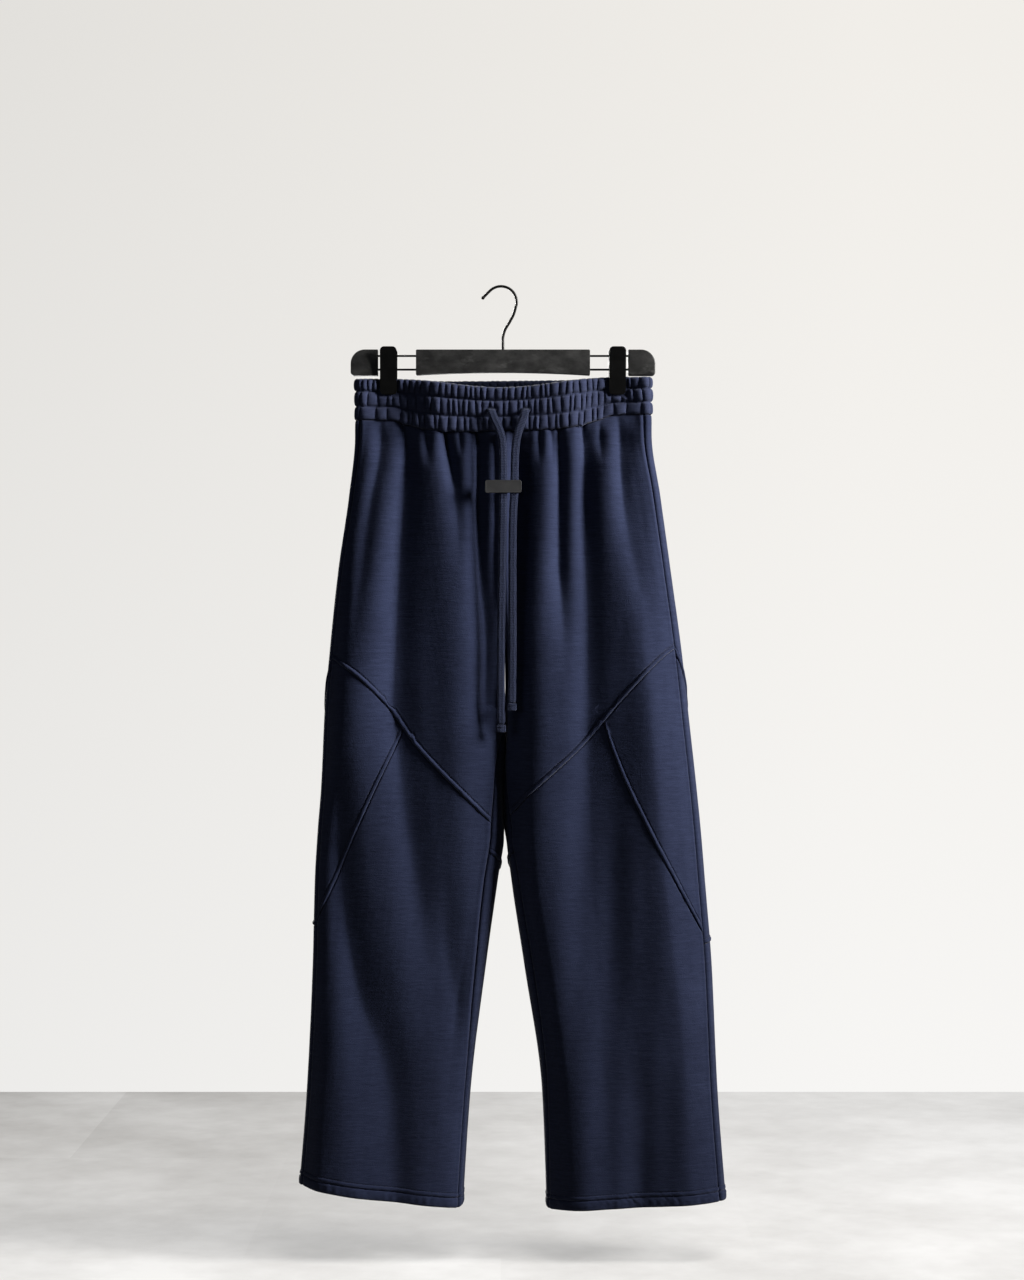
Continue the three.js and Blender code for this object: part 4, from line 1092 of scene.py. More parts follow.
@dataclass(frozen=True)
class MouldedFinish(Finish):
    """Moulded plastic or rubber: faint flow marks, fine grain and uneven gloss."""

    roughness: float
    gloss: float = 0.35
    wisps: float = 0.0
    wisp_colour: Colour = (0.11, 0.11, 0.108)
    mottle_scale: float = 55.0
    grain: float = 0.15

    def make(self) -> bpy.types.Material:
        """Builds the material on Object coordinates.

        Returns:
            The material.
        """
        board = Board(self.name, use_uv=False)
        cloud = board.noise(board.scaled(board.place, (1, 1, 1.6)), self.mottle_scale, 5.0, 0.65)
        grain = board.noise(board.place, 1500.0, 2.0)
        colour = board.mix(board.ramp(cloud, 0.35, 0.7), self.dark, self.light)
        if self.wisps:
            flow = board.noise(board.scaled(board.place, (1, 1, 2.2)), 34.0, 7.0, 0.7)
            share = board.times(board.ramp(flow, 0.56, 0.74), self.wisps)
            colour = board.mix(share, colour, self.wisp_colour)
        rough = board.plus(board.times(board.ramp(cloud, -0.6, 1.6), 0.2), self.roughness - 0.1)
        grainy = board.bump(grain, self.grain, 0.0003)
        return board.finish(colour, rough, grainy, Specular_IOR_Level=self.gloss)


@dataclass(frozen=True)
class WireFinish(Finish):
    """Blackened steel wire with faint draw marks and worn spots."""

    def make(self) -> bpy.types.Material:
        """Builds the material on Object coordinates.

        Returns:
            The material.
        """
        board = Board(self.name, use_uv=False)
        wear = board.noise(board.place, 240.0, 4.0, 0.6)
        marks = board.noise(board.scaled(board.place, (1, 1, 0.1)), 1800.0, 2.0)
        colour = board.mix(board.ramp(wear, 0.5, 0.8), self.dark, self.light)
        return board.finish(colour, board.ramp(wear, 1.2, -0.6), board.bump(marks, 0.1, 0.0001), Metallic=0.4)


class Finishes:
    """Every material of the object, made once."""

    def __init__(self) -> None:
        """Builds the materials."""
        self.fleece = FleeceFinish("fleece", (0.0098, 0.0136, 0.036), (0.0247, 0.0327, 0.073)).make()
        self.band = FleeceFinish("waistband_fleece", (0.014, 0.018, 0.043), (0.034, 0.042, 0.085)).make()
        # the braid's and the thread's two colours span their painted groove shade and painted crown
        # highlight, about their own navy
        self.braid = BraidFinish("braid", (0.005, 0.0075, 0.0215), (0.0215, 0.029, 0.066)).make()
        self.thread = BraidFinish("thread", (0.011, 0.015, 0.033), (0.024, 0.03, 0.06)).make()
        self.rubber = MouldedFinish("keeper_rubber", (0.03, 0.03, 0.031), (0.042, 0.042, 0.044), 0.55).make()
        self.bar = MouldedFinish(
            "bar_plastic", (0.014, 0.014, 0.014), (0.044, 0.0435, 0.043), 0.5, wisps=0.7,
        ).make()
        self.black = MouldedFinish(
            "black_plastic", (0.0012, 0.0012, 0.0013), (0.003, 0.003, 0.003), 0.5, gloss=0.12,
        ).make()
        self.wire = WireFinish("black_wire", (0.005, 0.0045, 0.004), (0.02, 0.017, 0.015)).make()


def dress(piece: bpy.types.Object, material: bpy.types.Material,
          replaces: Sequence[str] = ()) -> None:
    """Gives a new piece its material and its body, hides the CAD nodes that it stands for and logs its face
    count.

    Args:
        piece: the new piece.
        material: its material.
        replaces: nodes that it stands for.
    """
    piece.data.materials.clear()
    piece.data.materials.append(material)
    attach(piece, BODY)
    if replaces:
        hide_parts(*replaces)
    LOG.info("%s: %d faces", piece.name, len(piece.data.polygons))


# ------------ drawcord
# x, y, z from the buttonhole to the free end
CORD_ROUTES = {
    Side.RIGHT: (
        (-14, -21.1, -148.5), (-14, -23.9, -148.8), (-12.8, -25.9, -153), (-9, -26.5, -162),
        (-4.5, -27, -172), (-1.2, -27.8, -184), (0, -29.3, -200), (0.2, -31.6, -218),
        (0.2, -34.1, -234), (0.2, -34.3, -250), (0, -36.2, -272), (-0.4, -37.8, -300),
        (-0.9, -39.5, -335), (-1.6, -40.8, -375), (-2.2, -42, -420), (-2.4, -43.2, -465),
        (-2.3, -43.9, -500), (-2.1, -44, -522.6),
    ),
    Side.LEFT: (
        (27, -21.1, -148.3), (27, -23.9, -148.6), (25.8, -25.9, -153.2), (22.4, -26.5, -163),
        (18.6, -27.1, -174), (15.8, -27.9, -187), (14.4, -29.4, -202), (13.9, -31.7, -219),
        (13.8, -34.1, -234), (13.2, -34.3, -250), (12, -36.3, -272), (11.4, -38.1, -300),
        (11.2, -39.9, -335), (11.2, -41.2, -375), (11.3, -42.4, -420), (11, -43.3, -460),
        (10.6, -43.9, -497),
    ),
}


@dataclass
class Drawcord:
    """One end of the flat braided drawcord, with its folded and stitched tip."""

    side: Side
    finishes: Finishes
    width: float = 9.5
    thickness: float = 3.0
    ribs: int = 4
    rib_height: float = 0.22
    ring_step: float = 1.3
    corners: int = 44
    end_width: float = 11.5
    end_thickness: float = 4.6
    end_height: float = 9.5

    def route(self) -> Array:
        """Evenly spaced points along the cord's middle, in mm.

        Returns:
            One row for each ring.
        """
        points = np.array(CORD_ROUTES[self.side], dtype=float)
        run = run_along(points)
        at = np.linspace(0, run[-1], int(run[-1] / self.ring_step) + 1)
        return np.stack([SmoothTable(run, points[:, k])(at) for k in range(3)], axis=1)

    def section(self) -> tuple[Array, Array]:
        """The flat section's outline, across and through.

        Returns:
            The distances across and through, for each corner.
        """
        angle = round_angles(self.corners)
        across = signed_power(np.cos(angle), 0.5) * self.width / 2
        through = signed_power(np.sin(angle), 0.5) * self.thickness / 2
        ribbed = self.rib_height * np.cos(2 * np.pi * self.ribs * across / self.width)
        return across, through + np.sign(through) * ribbed * (np.abs(across) < 0.45 * self.width)

    def build(self) -> None:
        name, route = self.side.value, self.route()
        piece = self._cord(route)
        dress(piece, self.finishes.braid, [f"drawcord_{name}"])
        tip = self._tip(route[-1])
        dress(tip, self.finishes.braid, [f"cord_end_{name}"])

    def _cord(self, route: Array) -> bpy.types.Object:
        """The cord: rings of its section along the route, and a fan of triangles over each end.

        Args:
            route: its middle, ring by ring.

        Returns:
            The cord.
        """
        tangent = unit(np.gradient(route, axis=0))
        sideways = unit(np.array([1.0, 0, 0]) - tangent * tangent[:, :1])
        outwards = np.cross(tangent, sideways)
        across, through = self.section()
        count, sides = len(route), self.corners
        from_start = np.linspace(0, 1, count) * count
        taper = 1 - 0.25 * np.exp(-from_start / 1.2) - 0.25 * np.exp(-from_start[::-1] / 1.2)
        rings = route[:, None, :] + (
            sideways[:, None, :] * across[None, :, None] + outwards[:, None, :] * through[None, :, None]
        ) * taper[:, None, None]
        points = np.concatenate([rings.reshape(-1, 3), rings[[0, -1]].mean(axis=1)])
        ring, last, middle = np.arange(sides), (count - 1) * sides, count * sides
        after = np.roll(ring, -1)
        fans = [*zip(after, ring, ring * 0 + middle), *zip(last + ring, last + after, ring * 0 + middle + 1)]
        faces = [tuple(int(i) for i in face) for face in (*tube_faces(count, sides), *fans)]
        down = np.arange(count) * self.ring_step
        uv = np.concatenate([listed(across[None, :], down[:, None]), [[0, 0], [0, down[-1]]]]) * MM
        mesh = bpy.data.meshes.new(f"cord_{self.side.value}")
        mesh.from_pydata([tuple(point) for point in to_world(points)], [], faces)
        layer = mesh.uv_layers.new(name="cloth")
        layer.data.foreach_set("uv", uv.astype(np.float32)[np.concatenate(faces)].ravel())
        return smooth_object(mesh)

    def _tip(self, last: Array) -> bpy.types.Object:
        """The end, folded back on itself and sewn flat across.

        Args:
            last: the cord's last point.

        Returns:
            The end.
        """
        rows, cols = 25, 40
        t = np.linspace(0, 1, rows)[:, None]
        angle = round_angles(cols)[None, :]
        round_ = np.clip(1 - np.abs(2 * np.clip(t, 0.004, 0.996) - 1) ** 9, 0, 1) ** 0.35
        sewn = 1 - 0.14 * bell(t - 0.45, 0.09)
        x = signed_power(np.cos(angle), 0.45) * self.end_width / 2 * round_ * (1 - 0.06 * (1 - t))
        y = signed_power(np.sin(angle), 0.6) * self.end_thickness / 2 * round_ * sewn
        y = y + 0.16 * np.cos(2 * np.pi * self.ribs * x / self.width) * np.sign(y)
        z = -SEAM_GAP - self.end_height * t + 0.25 * np.sin(3 * x)
        uv = listed(x, 60 + self.end_height * t) * MM
        points = to_world(listed(x, y, z) + last)
        return add_object(f"cord_tip_{self.side.value}", points, self._capped(rows, cols), uv)

    @staticmethod
    def _capped(rows: int, cols: int) -> Array:
        """Faces of a tube whose end rings close across themselves.

        Args:
            rows: how many rings.
            cols: points in a ring.

        Returns:
            Rows of four corner numbers.
        """
        inset = np.arange(cols // 2 - 1)
        caps = []
        for base, top in ((0, True), ((rows - 1) * cols, False)):
            left, right = base + inset + 1, base + cols - inset - 1
            a, b, c, d = left[:-1], left[1:], right[1:], right[:-1]
            caps.append(quads(a, b, c, d) if top else quads(a, d, c, b))
        return np.concatenate([tube_faces(rows, cols), *caps])


# ------------ cloth panels
@dataclass
class Panel:
    """One cut piece of cloth, worked out row by row between two seams.

    The rows stand at set distances in mm from each seam, pressed together where they would take more
    than EDGE_SHARE of the height. The cloth runs UNDER_BAND up under the waistband, and back panels
    keep BACK_EASE more off their seams. Its wall is nowhere thinner than LEAST_WALL; LEAST_AREA is not used.
    """

    WAIST_ROWS = (0, 0.4, 0.8, 1.3, 1.9, 2.6, 3.4, 4.4, 5.6, 7, 8.6, 10.4, 12.4, 14.6, 17)
    SEAM_ROWS = (0, 0.4, 0.8, 1.3, 2, 3)
    EDGE_SHARE = 0.82
    UNDER_BAND = 1.3
    BACK_EASE = 0.1
    LEAST_AREA = 0.31
    LEAST_WALL = 0.9
    HEM_STITCHES = (11.8, 17.4)
    WELT_STITCHES = (5.6,)
    WELT_ROWS = (0, 0.3, 0.6, 0.95, 1.35, 1.8, 2.3, 2.8, 3.3, 3.8, 4.25, 4.65, 5, 5.35, 5.7, 6.1,
                 6.6, 7.2, 8, 9.2, 11)
    HEM_ROWS = (0, 0.3, 0.7, 1.2, 2, 3, 4.2, 5.6, 7, 8.4, 9.6, 10.4, 11, 11.4, 11.8, 12.2, 12.6,
                13.2, 13.9, 14.7, 15.5, 16.2, 16.7, 17.1, 17.4, 17.8, 18.3, 19, 20, 21.5)

    node: str
    form: LegForm
    seams: SeamLines
    face: Face
    columns: Array
    top: str
    bottom: str
    middle_rows: int
    welt: float

    @property
    def name(self) -> str:
        """The finished piece's name."""
        return f"cloth_{self.node}"

    @property
    def waist(self) -> bool:
        """Whether its upper edge is gathered into the waistband."""
        return self.top.endswith("waist")

    @property
    def hemmed(self) -> bool:
        """Whether its lower edge is the hem."""
        return self.bottom == "hem"

    def heights(self) -> tuple[Array, Array, Array]:
        """Heights of every point, and its distances in mm from the lower and the upper seam.

        Returns:
            Three grids, of rows by columns.
        """
        u, face = self.columns, self.face
        ease = SEAM_GAP / 2 + (self.BACK_EASE if face is Face.BACK else 0.0)
        lean_top = np.hypot(1, self.seams.slope(self.top, face, u))
        lean_low = np.hypot(1, self.seams.slope(self.bottom, face, u))
        high = self.seams.height(self.top, u) - ease * lean_top + (self.UNDER_BAND if self.waist else 0.0)
        low = self.seams.height(self.bottom, u) + (0 if self.hemmed else ease * lean_low)
        tall = high - low
        head = np.array(self.WAIST_ROWS if self.waist else self.SEAM_ROWS)
        foot = np.array(self.HEM_ROWS if self.hemmed else self.WELT_ROWS)
        need = head[-1] * lean_top + foot[-1] * lean_low
        squeeze = np.minimum(1, self.EDGE_SHARE * tall / need)
        from_top = head[:, None] * (lean_top * squeeze)[None, :]
        from_low = foot[::-1, None] * (lean_low * squeeze)[None, :]
        t = np.linspace(0, 1, self.middle_rows + 2)[1:-1, None]
        start, end = high - from_top[-1], low + from_low[0]
        middle = start[None, :] * (1 - t) + end[None, :] * t
        z = np.concatenate([high[None, :] - from_top, middle, low[None, :] + from_low])
        return z, (z - low[None, :]) / lean_low[None, :], (high[None, :] - z) / lean_top[None, :]

    def detail(self, s: Array, z: Array, up: Array, down: Array, edge: tuple[Array, Array]) -> Array:
        """How far welts, hems, gathers and seams move the cloth's outside out.

        Args:
            s: distance along the cloth from the side seam, in mm.
            z: heights.
            up: distances above the panel's lower edge.
            down: distances below its upper edge.
            edge: distances from the side seam and from the inseam or centre seam.

        Returns:
            The outward move of each point, in mm.
        """
        seed = len(self.name) + 3 * self.form.side.sign
        uneven = Ripple(seed, (11, 26), 4)
        move = 0.03 * Ripple(seed + 5, (9, 17), 5)(s, 1.5 * z)
        if self.hemmed:
            ruck = 1 + 0.3 * uneven(s, 0.9 * up)
            move += 1.0 * ruck * dome(up + 0.2, 11.8, 0.55) - 0.9 * bell(up - 11.8, 0.65)
            pucker = Ripple(seed + 9, (7, 13), 5)(s - 0.9 * up, 0.2 * up)
            move += 0.28 * pucker * bell(up - 11, 6)
            move += 0.75 * dome(up - 12.2, 4.8, 0.7) - 0.4 * bell(up - 17.4, 0.6) - 0.8 * bell(up, 0.8)
        else:
            room = np.clip((up + down) / 9, 0, 1)
            puffed = self.welt * (1 + 0.12 * uneven(s, up))
            puffed = puffed * smoothstep(edge[0], -2, 7) * smoothstep(edge[1], -2, 7)
            rib = 0.85 * puffed * dome(up + 0.25, 4.7, 0.55) - 0.6 * bell(up - 5.2, 0.7)
            move += room * rib * min(1.0, self.welt) - 1.0 * bell(up, 0.55)
        if not self.waist:
            move += -0.9 * bell(down, 0.8)
        for distance in edge:
            move += -1.5 * bell(distance, 1.3) + 0.5 * bell(distance - 3.6, 2)
        return move

    def pouches(self, x: Array, z: Array, down: Array) -> Array:
        """How the cloth puffs out below the waistband between the places where it is tucked under.

        Args:
            x: x of each point.
            z: heights.
            down: distances below the waist seam.

        Returns:
            The outward move in mm.
        """
        tucked = sum(deep * bell(x - at, 3.2 + 0.1 * down) for at, deep in WAIST_TUCKS[self.face])
        puffed = 1.9 * (1 - np.exp(-np.maximum(down, 0) / 3.0)) * np.exp(-down / 34)
        held = 1 - 0.7 * pinch(x, z)
        return (puffed - 1.5 * tucked * np.exp(-down / 16)) * held - 2.2 * bell(down, 1.5)

    def build(self, finishes: Finishes) -> None:
        """Args:
            finishes: every material.
        """
        z, up, down = self.heights()
        length = self.form.length(self.face, z)
        trim = SEAM_GAP / 2 / length
        u = np.clip(np.broadcast_to(self.columns[None, :], z.shape), trim, 1 - trim)
        middle = self.form.point(self.face, z, u)
        normal = self.form.normal(self.face, z, u)
        s = u * length
        move = self.detail(s, z, up, down, (s, length - s))
        if self.waist:
            move += self.pouches(middle[..., 0], z, down)
        thick = CLOTH / 2
        if self.hemmed:
            thick = thick + HEM_EXTRA * smoothstep(-up, -HEM_DEPTH, -HEM_DEPTH + 1)
        deepest = 0.8 * np.minimum(move, 0) * (1 - 0.75 * pinch(middle[..., 0], z))
        outside = middle + normal * np.maximum(CLOTH / 2 + move, deepest - thick + self.LEAST_WALL)[..., None]
        inside = middle + normal * (deepest - thick)[..., None]
        points = np.concatenate([outside.reshape(-1, 3), inside.reshape(-1, 3)])
        faces = turned_out(points, shell_faces(*z.shape))
        flat = listed(s, z) * MM
        piece = add_object(self.name, to_world(points), faces, np.concatenate([flat, flat]))
        dress(piece, finishes.fleece, [self.node])
        rows = self.HEM_STITCHES if self.hemmed else self.WELT_STITCHES if self.welt else ()
        if rows:
            stitches = Stitches()
            for distance in rows:
                stitches.row(*self._line(outside, normal, up, distance))
            stitches.build(f"stitches_{self.node}", finishes.thread, "fleece")

    @staticmethod
    def _line(outside: Array, normal: Array, up: Array, distance: float) -> tuple[Array, Array]:
        """Points and normals of the outside at a distance above the lower edge.

        Args:
            outside: the outer grid.
            normal: its normals.
            up: its distances above the lower edge.
            distance: the one wanted.

        Returns:
            The points and their normals, a row for each column.
        """
        up, both = up[::-1], np.concatenate([outside, normal], axis=-1)[::-1]
        columns = range(1, up.shape[1] - 1)
        line = np.array([[np.interp(distance, up[:, c], both[:, c, k]) for k in range(6)] for c in columns])
        return line[:, :3], line[:, 3:]


class Legs:
    """The twelve cut panels."""

    def __init__(self, finishes: Finishes) -> None:
        """Keeps the finishes for the panels."""
        self.finishes = finishes

    @staticmethod
    def columns(meet: float, count: int) -> tuple[Array, Array]:
        """Shares u of the columns up to where two seams meet, and right across.

        Args:
            meet: u at which the seams meet.
            count: columns up to there.

        Returns:
            The two sets of shares.
        """
        outward = np.append(np.linspace(0, meet - TIP_U, count), [meet - 0.007, meet - 0.003])
        inward = np.linspace(meet, 1, int(count * (1 - meet) / meet))
        return outward, np.concatenate([outward, inward])

    def build(self) -> None:
        """Makes every panel on both sides."""
        for side in Side:
            form = LegForm(side)
            seams = SeamLines(form)
            ahead, across = self.columns(seams.front_meet, 56)
            behind, across_behind = self.columns(BACK_MEET_U, 52)
            bold = 1.7 if side is Side.LEFT else 1.0
            rows = (
                ("front_upper", across, "front_waist", "front_thigh", 120, 2.0),
                ("front_side", ahead, "front_thigh", "front_knee", 70, bold),
                ("front_leg", across, "front_leg_top", "hem", 110, 0),
                ("back_upper", across_behind, "back_waist", "back_upper_bottom", 130, 1.8),
                ("back_side", behind, "back_thigh", "back_knee", 60, 1.8),
                ("back_leg", across_behind, "back_knee", "hem", 90, 0),
            )
            for piece, columns, top, bottom, count, welt in rows:
                face = Face.FRONT if piece.startswith("front") else Face.BACK
                panel = Panel(f"{piece}_{side.value}", form, seams, face, columns, top, bottom, count, welt)
                panel.build(self.finishes)


# ------------ waistband
@dataclass
class Waistband:
    """The elasticated waistband: one ring in three shirred rows of irregular puffed gathers.

    Its strip is cut fullness times as long as the gathered band, and cut_height high; neither of these is
    used. The clips' jaws press the gathers down to under_jaw, from jaw_side off the jaw's middle and from
    jaw_foot upwards.
    """

    finishes: Finishes
    fullness: float = 1.35
    cut_height: float = 52.0
    columns: int = 1150
    row_steps: int = 12
    inside_steps: int = 14
    puff: float = 3.4
    groove: float = 3.9
    gather: float = 8.2
    under_jaw: float = 2.5
    jaw_side: tuple[float, float] = (10.5, 15.0)
    jaw_foot: tuple[float, float] = (-133.5, -129.5)
    seed: int = 11

    def plan(self) -> tuple[Array, Array, Array, float]:
        """Evenly spaced points round the band's plan.

        Returns:
            The points' x and y, their outward normals, whether each is on the front, and the girth.
        """
        xs, ys, fronts = [], [], []
        for side, turns in ((Side.LEFT, (1, -1)), (Side.RIGHT, (-1, 1))):
            section = LegForm(side).section(np.array([BAND_PLAN_Z]))
            outer = section.middle + section.half
            section.middle, section.half, section.share = outer / 2, outer / 2, np.array([1.0])
            section.z = np.array([-1000.0])
            angle = np.pi * (turns[0] + (turns[1] - turns[0]) * np.arange(480) / 480)
            x, y = plan_point(section, angle)
            xs.append(x)
            ys.append(y)
            fronts.append(angle > 0)
        x, y = np.concatenate(xs), np.concatenate(ys)
        front = np.concatenate(fronts).astype(float)
        ring = np.stack([x, y, front], axis=1)
        ring = np.concatenate([ring, ring[:1]])
        run = run_along(ring[:, :2])
        at = np.linspace(0, run[-1], self.columns, endpoint=False)
        plan = np.stack([np.interp(at, run, ring[:, k]) for k in range(2)], axis=1)
        on_front = np.interp(at, run, ring[:, 2]) > 0.5
        smooth = np.array([1, 4, 6, 4, 1]) / 16
        for _ in range(3):
            plan = sum(share * np.roll(plan, k - 2, axis=0) for k, share in enumerate(smooth))
        tangent = unit(np.roll(plan, -3, axis=0) - np.roll(plan, 3, axis=0))
        return plan, tangent[:, ::-1] * (1, -1), on_front, float(run[-1])

    def gathers(self, row: int, girth: float, s: Array, x: Array, t: Array) -> Array:
        """Heights 0..1 of a row's gathers: round fingers with narrow grooves between.

        Args:
            row: 0 at the top.
            girth: length round the band.
            s: distance round the band of each column.
            x: each column's x, which widens the gathers of the lowest row near the sides.
            t: share down the row, as a column vector.

        Returns:
            A grid of rows by columns.
        """
        rng = np.random.default_rng(self.seed + row)
        edges = [0.0]
        while edges[-1] < girth:
            at = np.interp(edges[-1], s, np.abs(x))
            wide = 1.0 + (1.1 if row == 2 else 0.12) * float(smoothstep(np.array(at), 112, 140))
            edges.append(edges[-1] + self.gather * wide * rng.uniform(0.62, 1.38))
        edges = np.array(edges) * girth / edges[-1]
        lean = rng.uniform(-0.9, 0.9, len(edges))
        lean[-1] = lean[0]
        tall = rng.uniform(0.72, 1.08, len(edges))
        slant = np.interp(s, edges, lean)
        shifted = (s[None, :] + slant[None, :] * (t - 0.5) * 2.0) % girth
        phase = np.interp(shifted, edges, np.arange(len(edges)))
        finger = np.abs(np.sin(np.pi * phase)) ** 0.36
        return finger * tall[np.minimum(phase.astype(int), len(tall) - 1)]

    def build(self) -> None:
        plan, normal, front, girth = self.plan()
        s = np.linspace(0, girth, self.columns, endpoint=False)
        x = plan[:, 0]
        top = np.where(front, BAND_TOP.height(x, Face.FRONT), BAND_TOP.height(x, Face.BACK))
        low = np.where(front, waist_height(x, Face.FRONT), waist_height(x, Face.BACK))
        low = low + SEAM_GAP / 2
        grip = 1 - smoothstep(np.abs(np.abs(x) - CLIP_X), *self.jaw_side)
        side_calm = 1 - 0.35 * smoothstep(np.abs(x), 168, 176)
        heights, offsets = [], []
        for row in range(3):
            t = np.linspace(0, 1, self.row_steps + 1)[:, None]
            t = t if row == 2 else t[:-1]
            share = SHIRRING[row] + (SHIRRING[row + 1] - SHIRRING[row]) * t
            z = top[None, :] + (low - top)[None, :] * share
            fingers = self.gathers(row, girth, s, x, t)
            pillow = np.clip(1 - np.abs(2 * t - 1) ** 2.6, 0, 1) ** 0.55
            soft = 1.9 if row < 2 else 1.3
            lip = 0.9 * t**4 if row == 2 else 0.0
            off = 0.6 + lip + pillow * (self.puff + soft - self.groove * (1 - fingers)) * side_calm[None, :]
            for at in BUTTONHOLES_X:
                near = np.exp(-((x[None, :] - at) / 6.5) ** 2 - ((z - BUTTONHOLE_Z) / 3.4) ** 2)
                off = off + (0.9 - off) * 0.85 * near * front[None, :]
            held = grip[None, :] * smoothstep(z, *self.jaw_foot)
            off = off + (np.minimum(off, self.under_jaw) - off) * held
            lift = (0.9 * fingers - 0.5) * (1 - t) ** 4 if row == 0 else 0
            heights.append(z + lift)
            offsets.append(off)
        t = np.linspace(1, 0, self.inside_steps)[:, None]
        z = top[None, :] + (low - top)[None, :] * np.clip(t, 0.02, 0.985)
        free = 1 - pinch(x[None, :], z)
        ruck = self.gathers(1, girth, s, x, t)
        heights.append(z)
        lip = 1 - smoothstep(1 - t, 0.02, 0.09)
        belly = np.clip(np.sin(np.pi * t), 0, 1) ** 0.4
        offsets.append(-2.1 + 1.5 * lip - (0.35 + 2.6 * (ruck - 0.6) * free) * belly)
        z, off = np.concatenate(heights), np.concatenate(offsets)
        held = pinch(x[None, :], z)
        depth = np.abs(plan[None, :, 1])
        depth = depth + (np.minimum(depth, GRIP_Y) - depth) * held
        across = np.broadcast_to(plan[None, :, 0], z.shape)
        flat = np.stack([across, np.sign(plan[None, :, 1]) * depth], axis=-1)
        flat = flat + normal[None, :, :] * off[..., None]
        grid = np.concatenate([flat, z[..., None]], axis=-1)
        rows = len(grid)
        points = grid.transpose(1, 0, 2).reshape(-1, 3)
        faces = turned_out(points, tube_faces(self.columns, rows, closed=True))
        along = np.broadcast_to(s[:, None], (self.columns, rows))
        uv = listed(along, grid[..., 2].T) * MM
        piece = add_object("waistband_shirred", to_world(points), faces, uv)
        dress(piece, self.finishes.band, ["waistband"])
        LOG.info("waistband: girth %.3f m", girth * MM)


# ------------ studio
class Reach(Enum):
    """What a light falls on."""

    ALL = "all"
    FLOOR_ONLY = "INCLUDE"
    ALL_BUT_FLOOR = "EXCLUDE"


@dataclass(frozen=True)
class Lamp:
    """One rectangular light: its sides in metres, its power in watts and its beam in degrees."""

    name: str
    place: Point
    aim: Point
    sides: tuple[float, float]
    power: float
    colour: Colour
    beam: float = 60.0
    reach: Reach = Reach.ALL

    def hang(self, floor: bpy.types.Object) -> None:
        """Puts the light in its place, pointed at its aim and kept to what it reaches.

        Args:
            floor: the floor, which it may light alone or leave unlit.
        """
        data = bpy.data.lights.new(self.name, "AREA")
        data.shape = "RECTANGLE"
        data.size, data.size_y = self.sides
        data.energy, data.color, data.spread = self.power, self.colour, math.radians(self.beam)
        lamp = bpy.data.objects.new(self.name, data)
        lamp.location = self.place
        lamp.rotation_euler = (Vector(self.aim) - Vector(self.place)).to_track_quat("-Z", "Y").to_euler()
        bpy.context.scene.collection.objects.link(lamp)
        if self.reach is not Reach.ALL:
            group = bpy.data.collections.new(f"{self.name}_linked")
            group.objects.link(floor)
            lamp.light_linking.receiver_collection = group
            group.collection_objects[0].light_linking.link_state = self.reach.value


FLOOR_Z = -1.165
# A large window-like key from the wearer's left, a weaker one behind, a trace of fill, and the floor's own
LAMPS = (
    Lamp("key", (2.8, -0.8, 0.95), (0, 0, 0.05), (0.9, 1.5), 40, (1, 0.985, 0.96)),
    Lamp("back_key", (-0.7, 3.4, 0.1), (0, 0, -0.5), (1.2, 1.6), 18, (1, 0.99, 0.97),
         reach=Reach.ALL_BUT_FLOOR),
    Lamp("left_fill", (-2.6, -1.9, 0.1), (0, 0, -0.5), (1.4, 1.8), 0.6, (0.93, 0.96, 1), 44,
         Reach.ALL_BUT_FLOOR),
    Lamp("floor_wash", (0.7, -0.7, 1.3), (0.5, 0.3, FLOOR_Z), (1.3, 0.7), 26, (1, 0.99, 0.975), 120,
         Reach.FLOOR_ONLY),
)


